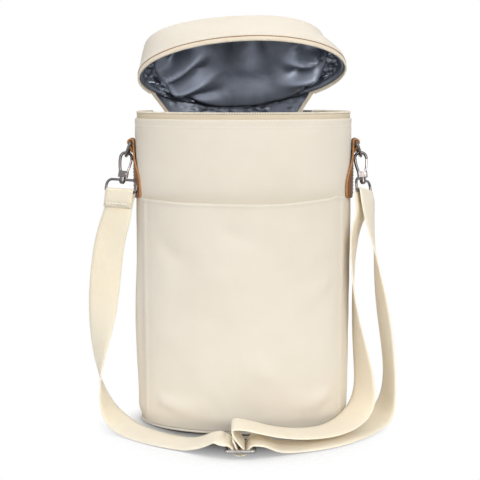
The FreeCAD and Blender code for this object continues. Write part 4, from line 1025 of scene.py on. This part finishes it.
fold_cloth = cloth_grid("fold_cloth", fold_points, fold_x + 90, np.linspace(0, 60, fold_rows),
                        [canvas, fold_film_painted_shade, zip_cloth], slot_of=fold_slot)
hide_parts("hinge_gusset")
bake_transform(fold_cloth)
print("fold cloth rows", fold_rows)

# %% [markdown]
# ## Leather tabs
# Each tab is a strip of leather folded over its ring and sewn flat to the side of the bag. The strip is
# swept along its own bent line, with the cut edges as a paler material of their own, as raw leather
# shows.

# %% Leather tabs
LOOP_REACH, LOOP_LEVEL, LOOP_MIDDLE, LOOP_START = 3.95, 284.5, 2.75, 30
TAB_HALF, TAB_SLANT, TAB_TOP, TAB_CORNER = 9.0, 12.0, 282.0, 4.0


def strip_line():
    """The bent middle line of the leather, as (distance from the wall, height)."""
    line = [(1.2, z) for z in np.linspace(230, 281, 26)]
    for a in np.radians(np.linspace(180, -46, 20)):
        line.append((LOOP_REACH + LOOP_MIDDLE * math.cos(a), LOOP_LEVEL + LOOP_MIDDLE * math.sin(a)))
    line += [(5.2, 281.0), (4.2, 279.2), (3.3, 277.3), (3.05, 275.6), (3.0, 274.0)]
    return np.array(line)


def on_side(side, across, reach, z, sewn=True):
    """x and y of a place on a tab. Where it is sewn, it slants forward and hugs the wall."""
    y = across - sewn * TAB_SLANT * ease(TAB_TOP - z, 0, 40)
    hug = (BODY_A + reach) * (math.sqrt(1 - (y / (BODY_B + reach)) ** 2) - 1)
    return side * (BODY_A + reach + sewn * hug * ease(TAB_TOP - z, 0, 30)), y


def leather_tab(name, side, replaced):
    """A strip with rounded ends, swept along the bent line."""
    line = strip_line()
    run = np.gradient(line, axis=0)
    run /= np.linalg.norm(run, axis=1)[:, None]
    length = layout(line)
    inner = np.linspace(-8.6, 8.6, 9)
    cut = [(8.95, -0.6), (TAB_HALF, 0.0), (8.95, 0.6)]
    section = [(w, -0.9) for w in inner] + cut
    section += [(w, 0.9) for w in inner[::-1]] + [(-w, -t) for w, t in cut]
    rows = []
    for k, (n, z) in enumerate(line):
        from_end = min(length[k], length[-1] - length[k])
        corner = max(0.0, TAB_CORNER - from_end)
        corner = TAB_CORNER - math.sqrt(max(0.0, TAB_CORNER ** 2 - corner ** 2))
        narrow = (TAB_HALF - corner) / TAB_HALF
        row = []
        for w, t in section:
            thick = t + 0.12 * (1 - (w / TAB_HALF) ** 2) * (t > 0)
            x, y = on_side(side, w * narrow, n + run[k][1] * thick, z, k < LOOP_START)
            row.append((x, y, z - run[k][0] * thick))
        rows.append(row)
    rows = np.array(rows)
    ends = [np.tile(row.mean(axis=0), (1, len(section), 1)) for row in (rows[0], rows[-1])]
    rows = np.concatenate([ends[0], rows, ends[1]])
    lengths = np.concatenate([[-1], length, [length[-1] + 1]])
    across = np.array([w for w, t in section] + [section[0][0]]) + TAB_HALF
    last = len(rows) - 2
    tab = cloth_grid(name, rows, across, lengths, [leather, cut_edge], closed=True,
                     slot_of=lambda r, c: r in (0, last) or 8 <= c <= 11 or c >= 20)
    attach(tab, "bag")
    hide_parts(replaced)


leather_tab("left_leather", -1, "left_tab")
leather_tab("right_leather", 1, "right_tab")
print("leather strip", round(layout(strip_line())[-1]), "mm long")

# %% [markdown]
# ## Webbing strap
# One length of cotton webbing runs from the left clip down to the floor, through a three-bar slider, up
# to the right clip, through it and back down to the slider, where its end is sewn round the middle bar. A
# limp strap could be simulated, but the photograph shows exactly how this one lies, so its line is a list
# of given places, each with the heading of the strap's width, joined by smooth arcs. It is made
# in two pieces that meet in the slider, because each end follows its own clip.

# %% Where the strap runs
LEFT_BAR = ((-121.6767, -10.0332, 235.8908), (-0.4256, -0.8487, 0.3138), (0.8923, -0.4513, -0.0103),
            (0.1504, 0.2756, 0.9494))
RIGHT_BAR = ((119.2527, -10.0332, 235.5931), (0.8683, -0.4513, 0.2059), (0.4889, 0.8487, -0.2015),
             (-0.0838, 0.2756, 0.9576))
WRAP_BAR = ((-3.0, -98.0, 6.6), (-0.866, 0, -0.5), (0, 1, 0), (0.5, 0, -0.866))
LEFT_ROUTE = [
    (-123.66, -13.59, 220.39, -26), (-124.86, -15.8, 212.79, -25), (-133, -13, 187, -18),
    (-136.5, -14, 162, -12), (-139.5, -14.5, 134, -15), (-142, -15, 110, -30), (-144.5, -16, 86, -50),
    (-146, -17, 62, -70), (-143.5, -19.5, 41, -85), (-138, -24, 23, -100), (-129, -31, 10.5, -116),
    (-117, -41, 3.6, -128), (-103, -52, 1.4, -128), (-88, -64, 1.3, -122), (-70, -75, 1.3, -112),
    (-53, -83, 1.8, -102), (-41, -89, 6, -96), (-31, -93, 11, -92), (-24, -96, 13, -90),
    (-19.25, -98, 11.5, -90), (-13.4, -98, 11.5, -90), (-9.5, -98, 6.5, -90), (-7.68, -98, 1.5, -90),
    (-3, -98, 1.5, -90)]
OUTER_ROUTE = [
    (-3, -98, 1.5, 90), (1.68, -98, 1.5, 90), (3.5, -98, 6.5, 90), (7.4, -98, 11.5, 90),
    (13.25, -98, 11.5, 91), (20, -96.5, 10, 93), (32, -93, 3, 98), (48, -88, 1.3, 105),
    (66, -82, 1.3, 112), (85, -72.5, 1.3, 121), (104, -57, 1.3, 131), (121, -38, 1.6, 136),
    (134, -25, 5, 130), (142.5, -18, 13, 119), (147, -15, 26, 109), (148.5, -14, 44, 104),
    (147, -13.5, 68, 104), (143.5, -13, 95, 106), (139.5, -13, 120, 104), (135.5, -13, 145, 98),
    (132, -13, 170, 88), (128.5, -13, 193, 77), (123.45, -16.39, 218.99, 63), (122.7, -13.91, 227.61, 62)]
INNER_ROUTE = [
    (117.31, -11.11, 226.34, 62), (118.07, -13.6, 217.72, 63), (110.5, -13, 196, 68),
    (108.8, -16, 172, 76), (109.2, -17.5, 148, 83), (110.8, -18.5, 125, 91), (113.5, -19.5, 102, 100),
    (117, -20.5, 80, 110), (120.5, -21.5, 58, 118), (122, -23.5, 40, 122), (119.5, -29, 26, 128),
    (112, -39, 16.5, 136), (101, -51, 11.5, 134), (88, -62.5, 9.5, 128), (74, -72, 9.5, 122),
    (58, -80, 11, 113), (42, -87, 14, 106), (26, -92, 18, 100), (11, -95.5, 23, 96),
    (-1, -97.5, 26.5, 92), (-10, -98, 27, 90), (-11.13, -98, 22.69, 90), (-8.13, -98, 17.49, 90)]
print("places along the strap:", len(LEFT_ROUTE), len(OUTER_ROUTE), len(INNER_ROUTE))

# %% Webbing helpers
STRAP_HALF, STRAP_THICK, ARC_STEPS = 16.0, 1.8, 6


def smooth_run(stations):
    """Places and width directions along smooth arcs that join the middles of neighbouring spans."""
    rows = [Vector(s[:3]) for s in stations]
    headings = [s[3] for s in stations]
    last = len(rows) - 1
    found = []
    for index in range(1, last):
        ends = []
        for other in (index - 1, index + 1):
            share = 1 if other in (0, last) else 0.5
            heading = headings[index] + (headings[other] - headings[index]) * share
            ends.append((rows[index].lerp(rows[other], share), heading))
        for step in range(ARC_STEPS + (index == last - 1)):
            t = step / ARC_STEPS
            a, b, c = (1 - t) ** 2, 2 * t * (1 - t), t ** 2
            place = ends[0][0] * a + rows[index] * b + ends[1][0] * c
            heading = math.radians(ends[0][1] * a + headings[index] * b + ends[1][1] * c)
            found.append((place, Vector((math.cos(heading), math.sin(heading), 0))))
    return found


def bar_turn(bar, leg, half_gap, bar_radius, sign):
    """Places round a bar: up the leg on side sign, over the bar, and down the other leg."""
    base, x_way, y_way, z_way = (Vector(v) for v in bar)
    middle = bar_radius + 0.3 + STRAP_THICK / 2
    low = half_gap + STRAP_THICK / 2
    knee = low + (middle - low) * 0.5
    flat = [(sign * low, -leg), (sign * knee, -leg * 0.5)]
    half_turn = np.radians(np.linspace(0, 180, 13))
    flat += [(sign * middle * math.cos(a), middle * math.sin(a)) for a in half_turn]
    flat += [(-sign * knee, -leg * 0.5), (-sign * low, -leg)]
    return [(base + x_way * x + z_way * z, y_way) for x, z in flat]


def ribbon(name, line):
    """Webbing along a line of (place, width direction): a flat woven band with rounded edges."""
    places = [p for p, w in line]
    across = np.linspace(-1, 1, 9)
    section = [(u, 1) for u in across] + [(1.012, 0)] + [(u, -1) for u in across[::-1]] + [(-1.012, 0)]
    rows = []
    for k, (place, width) in enumerate(line):
        way = (places[min(k + 1, len(line) - 1)] - places[max(k - 1, 0)]).normalized()
        side = (width - way * width.dot(way)).normalized()
        face = side.cross(way)
        row = []
        for u, v in section:
            edge = 1 - 0.35 * max(0.0, abs(u) - 0.8) / 0.2
            row.append(list(place + side * (STRAP_HALF * u) + face * (STRAP_THICK / 2 * v * edge)))
        rows.append(row)
    length = layout([list(p) for p in places])
    flat_across = [u * STRAP_HALF + STRAP_HALF for u, v in section] + [0]
    band = cloth_grid(name, rows, flat_across, length, [webbing], closed=True, cap="both")
    return band, float(length[-1])


# %% Two halves of the strap
left_line = bar_turn(LEFT_BAR, 16, 0.1, 1.3, 1) + smooth_run(LEFT_ROUTE)[1:]
strap_left, left_length = ribbon("strap_left", left_line)
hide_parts("strap_left_run", "left_strap_fold")
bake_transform(strap_left)

right_line = smooth_run(OUTER_ROUTE) + bar_turn(RIGHT_BAR, 9, 2.2, 1.3, 1)[1:-1] + smooth_run(INNER_ROUTE)
right_line += bar_turn(WRAP_BAR, 12, 0.1, 1.8, -1)[1:]
strap_right, right_length = ribbon("strap_right", right_line)
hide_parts("strap_outer_run", "strap_inner_run", "right_strap_fold", "strap_end_wrap")
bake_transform(strap_right)
print("webbing", round(left_length), "and", round(right_length), "mm")

# %% [markdown]
# ## Stitching
# Every seam that shows is a row of lockstitches: short lengths of thread that dive into the cloth at each
# end. A bump line could hint at them, but close up they catch the light, so each is a small bowed pill of
# thread laid along a row of points taken from the cloth itself.

# %% Stitches
STITCH_FILL = 0.7
STITCH_BOW = ((0, 0.3, -0.3), (0.12, 0.9, 0.05), (0.5, 1.0, 0.2), (0.88, 0.9, 0.05), (1, 0.3, -0.3))


def stitch_row(name, line, out, body, pitch=3.6, radius=0.26, material=thread):
    """A row of stitches along a line of points, standing a little out of the cloth."""
    line, out = np.asarray(line, float), np.asarray(out, float)
    out = out / np.linalg.norm(out, axis=1)[:, None]
    length = layout(line)
    points, faces = [], []
    for first in np.arange(0.5, length[-1] - pitch, pitch):
        marks = first + pitch * STITCH_FILL * np.array([share for share, size, lift in STITCH_BOW])
        middle = np.stack([np.interp(marks, length, line[:, k]) for k in range(3)], axis=-1)
        away = np.stack([np.interp(marks, length, out[:, k]) for k in range(3)], axis=-1)
        run = (middle[-1] - middle[0]) / np.linalg.norm(middle[-1] - middle[0])
        start = len(points)
        for k, (share, size, lift) in enumerate(STITCH_BOW):
            side = np.cross(run, away[k])
            for a in np.radians(range(0, 360, 60)):
                around = side * math.cos(a) + away[k] * math.sin(a)
                points.append(middle[k] + away[k] * (lift + 0.1) + around * radius * size)
        for k in range(4):
            for m in range(6):
                a, b = start + 6 * k + m, start + 6 * k + (m + 1) % 6
                faces.append((a, b, b + 6, a + 6))
        faces.append(tuple(start + m for m in reversed(range(6))))
        faces.append(tuple(start + 24 + m for m in range(6)))
    corner_uv = [(points[i][0], points[i][2]) for face in faces for i in face]
    row = make_mesh(name, points, faces, corner_uv, [material])
    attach(row, body)


def nearest_row(profile, level):
    """The row of a profile that is nearest to a level."""
    return int(np.argmin(np.abs(np.array([z for inset, z in profile]) - level)))


# %% Pocket, rim and lid stitches
hem_row = [z for proud, z in pocket_profile].index(HEM_LEVEL)
pocket_out = xyz(pocket_x / BODY_A ** 2 * BODY_B ** 2, pocket_points[hem_row, :, 1], 0)
for word, x in (("left", -94.5), ("right", 94.5)):
    column = int(np.argmin(np.abs(pocket_x - x)))
    seam_line = pocket_points[3:hem_row - 4, column]
    seam_out = np.tile(pocket_out[column], (len(seam_line), 1))
    stitch_row("pocket_%s_stitches" % word, seam_line, seam_out, "bag", pitch=4.0, radius=0.24,
               material=canvas)
rim_row = nearest_row(foot_edge + wall_rise, RIM_STITCH)
rim_out = oval_ring(wall_angles, 1 / BODY_A, 1 / BODY_B, 0)
stitch_row("rim_stitches", wall_points[rim_row], rim_out, "bag")
lid_row = nearest_row(lid_profile[4:20], LID_STITCH) + 4
lid_away = lid_place(lid_rows[lid_row] + lid_out) - lid_points[lid_row]
stitch_row("lid_stitches", lid_points[lid_row], lid_away, "soft_lid")
print("stitched at", round(wall_profile[rim_row][1]), "and", round(lid_profile[lid_row][1]), "mm")

# %% Tab and strap stitches
STITCH_REACH = 2.2
for word, side in (("left", -1), ("right", 1)):
    for edge, across in (("front", -6.6), ("back", 6.6)):
        tab_line = [(*on_side(side, across, STITCH_REACH, z), z) for z in np.linspace(233, 272, 20)]
        stitch_row("%s_tab_%s_stitches" % (word, edge), tab_line, np.tile((side, 0, 0), (20, 1)), "bag",
                   pitch=3.4, material=binding_cloth)


def bar_stitches(name, bar, side, depth, reach, body):
    """A row across a folded band, depth below its bar, on the face that stands reach to the given side."""
    base, x_way, y_way, z_way = (np.array(v) for v in bar)
    line = [base + x_way * side * reach - z_way * depth + y_way * w for w in np.linspace(-14, 14, 29)]
    stitch_row(name, line, np.tile(x_way * side, (29, 1)), body, radius=0.6)


bar_stitches("left_fold_stitches", LEFT_BAR, 1, 13.0, 2.4, "left_clip_end")
bar_stitches("left_fold_back_stitches", LEFT_BAR, -1, 13.0, 2.2, "left_clip_end")
bar_stitches("end_wrap_stitches", WRAP_BAR, 1, 9.0, 2.5, "bag")

# %% [markdown]
# ## Metal fittings
# Rings, hooks, gates, loops and the slider are turned and bent metal: their solids already have the right
# form, so they stay, smoothed where a curve has been cut into flats.

# %% Metal fittings
PAIRED = ("ring", "hook", "gate", "gate_pin", "gate_spring", "strap_loop", "swivel_rivet")
SINGLE = ("strap_slider", "zip_slider", "zip_pull")
metal = [label for label in nodes if label.split("_", 1)[-1] in PAIRED or label in SINGLE]
for label in metal:
    node = nodes[label]
    for polygon in node.data.polygons:
        polygon.use_smooth = True
    node.data.set_sharp_from_angle(angle=math.radians(40))
print("metal nodes kept:", len(metal))
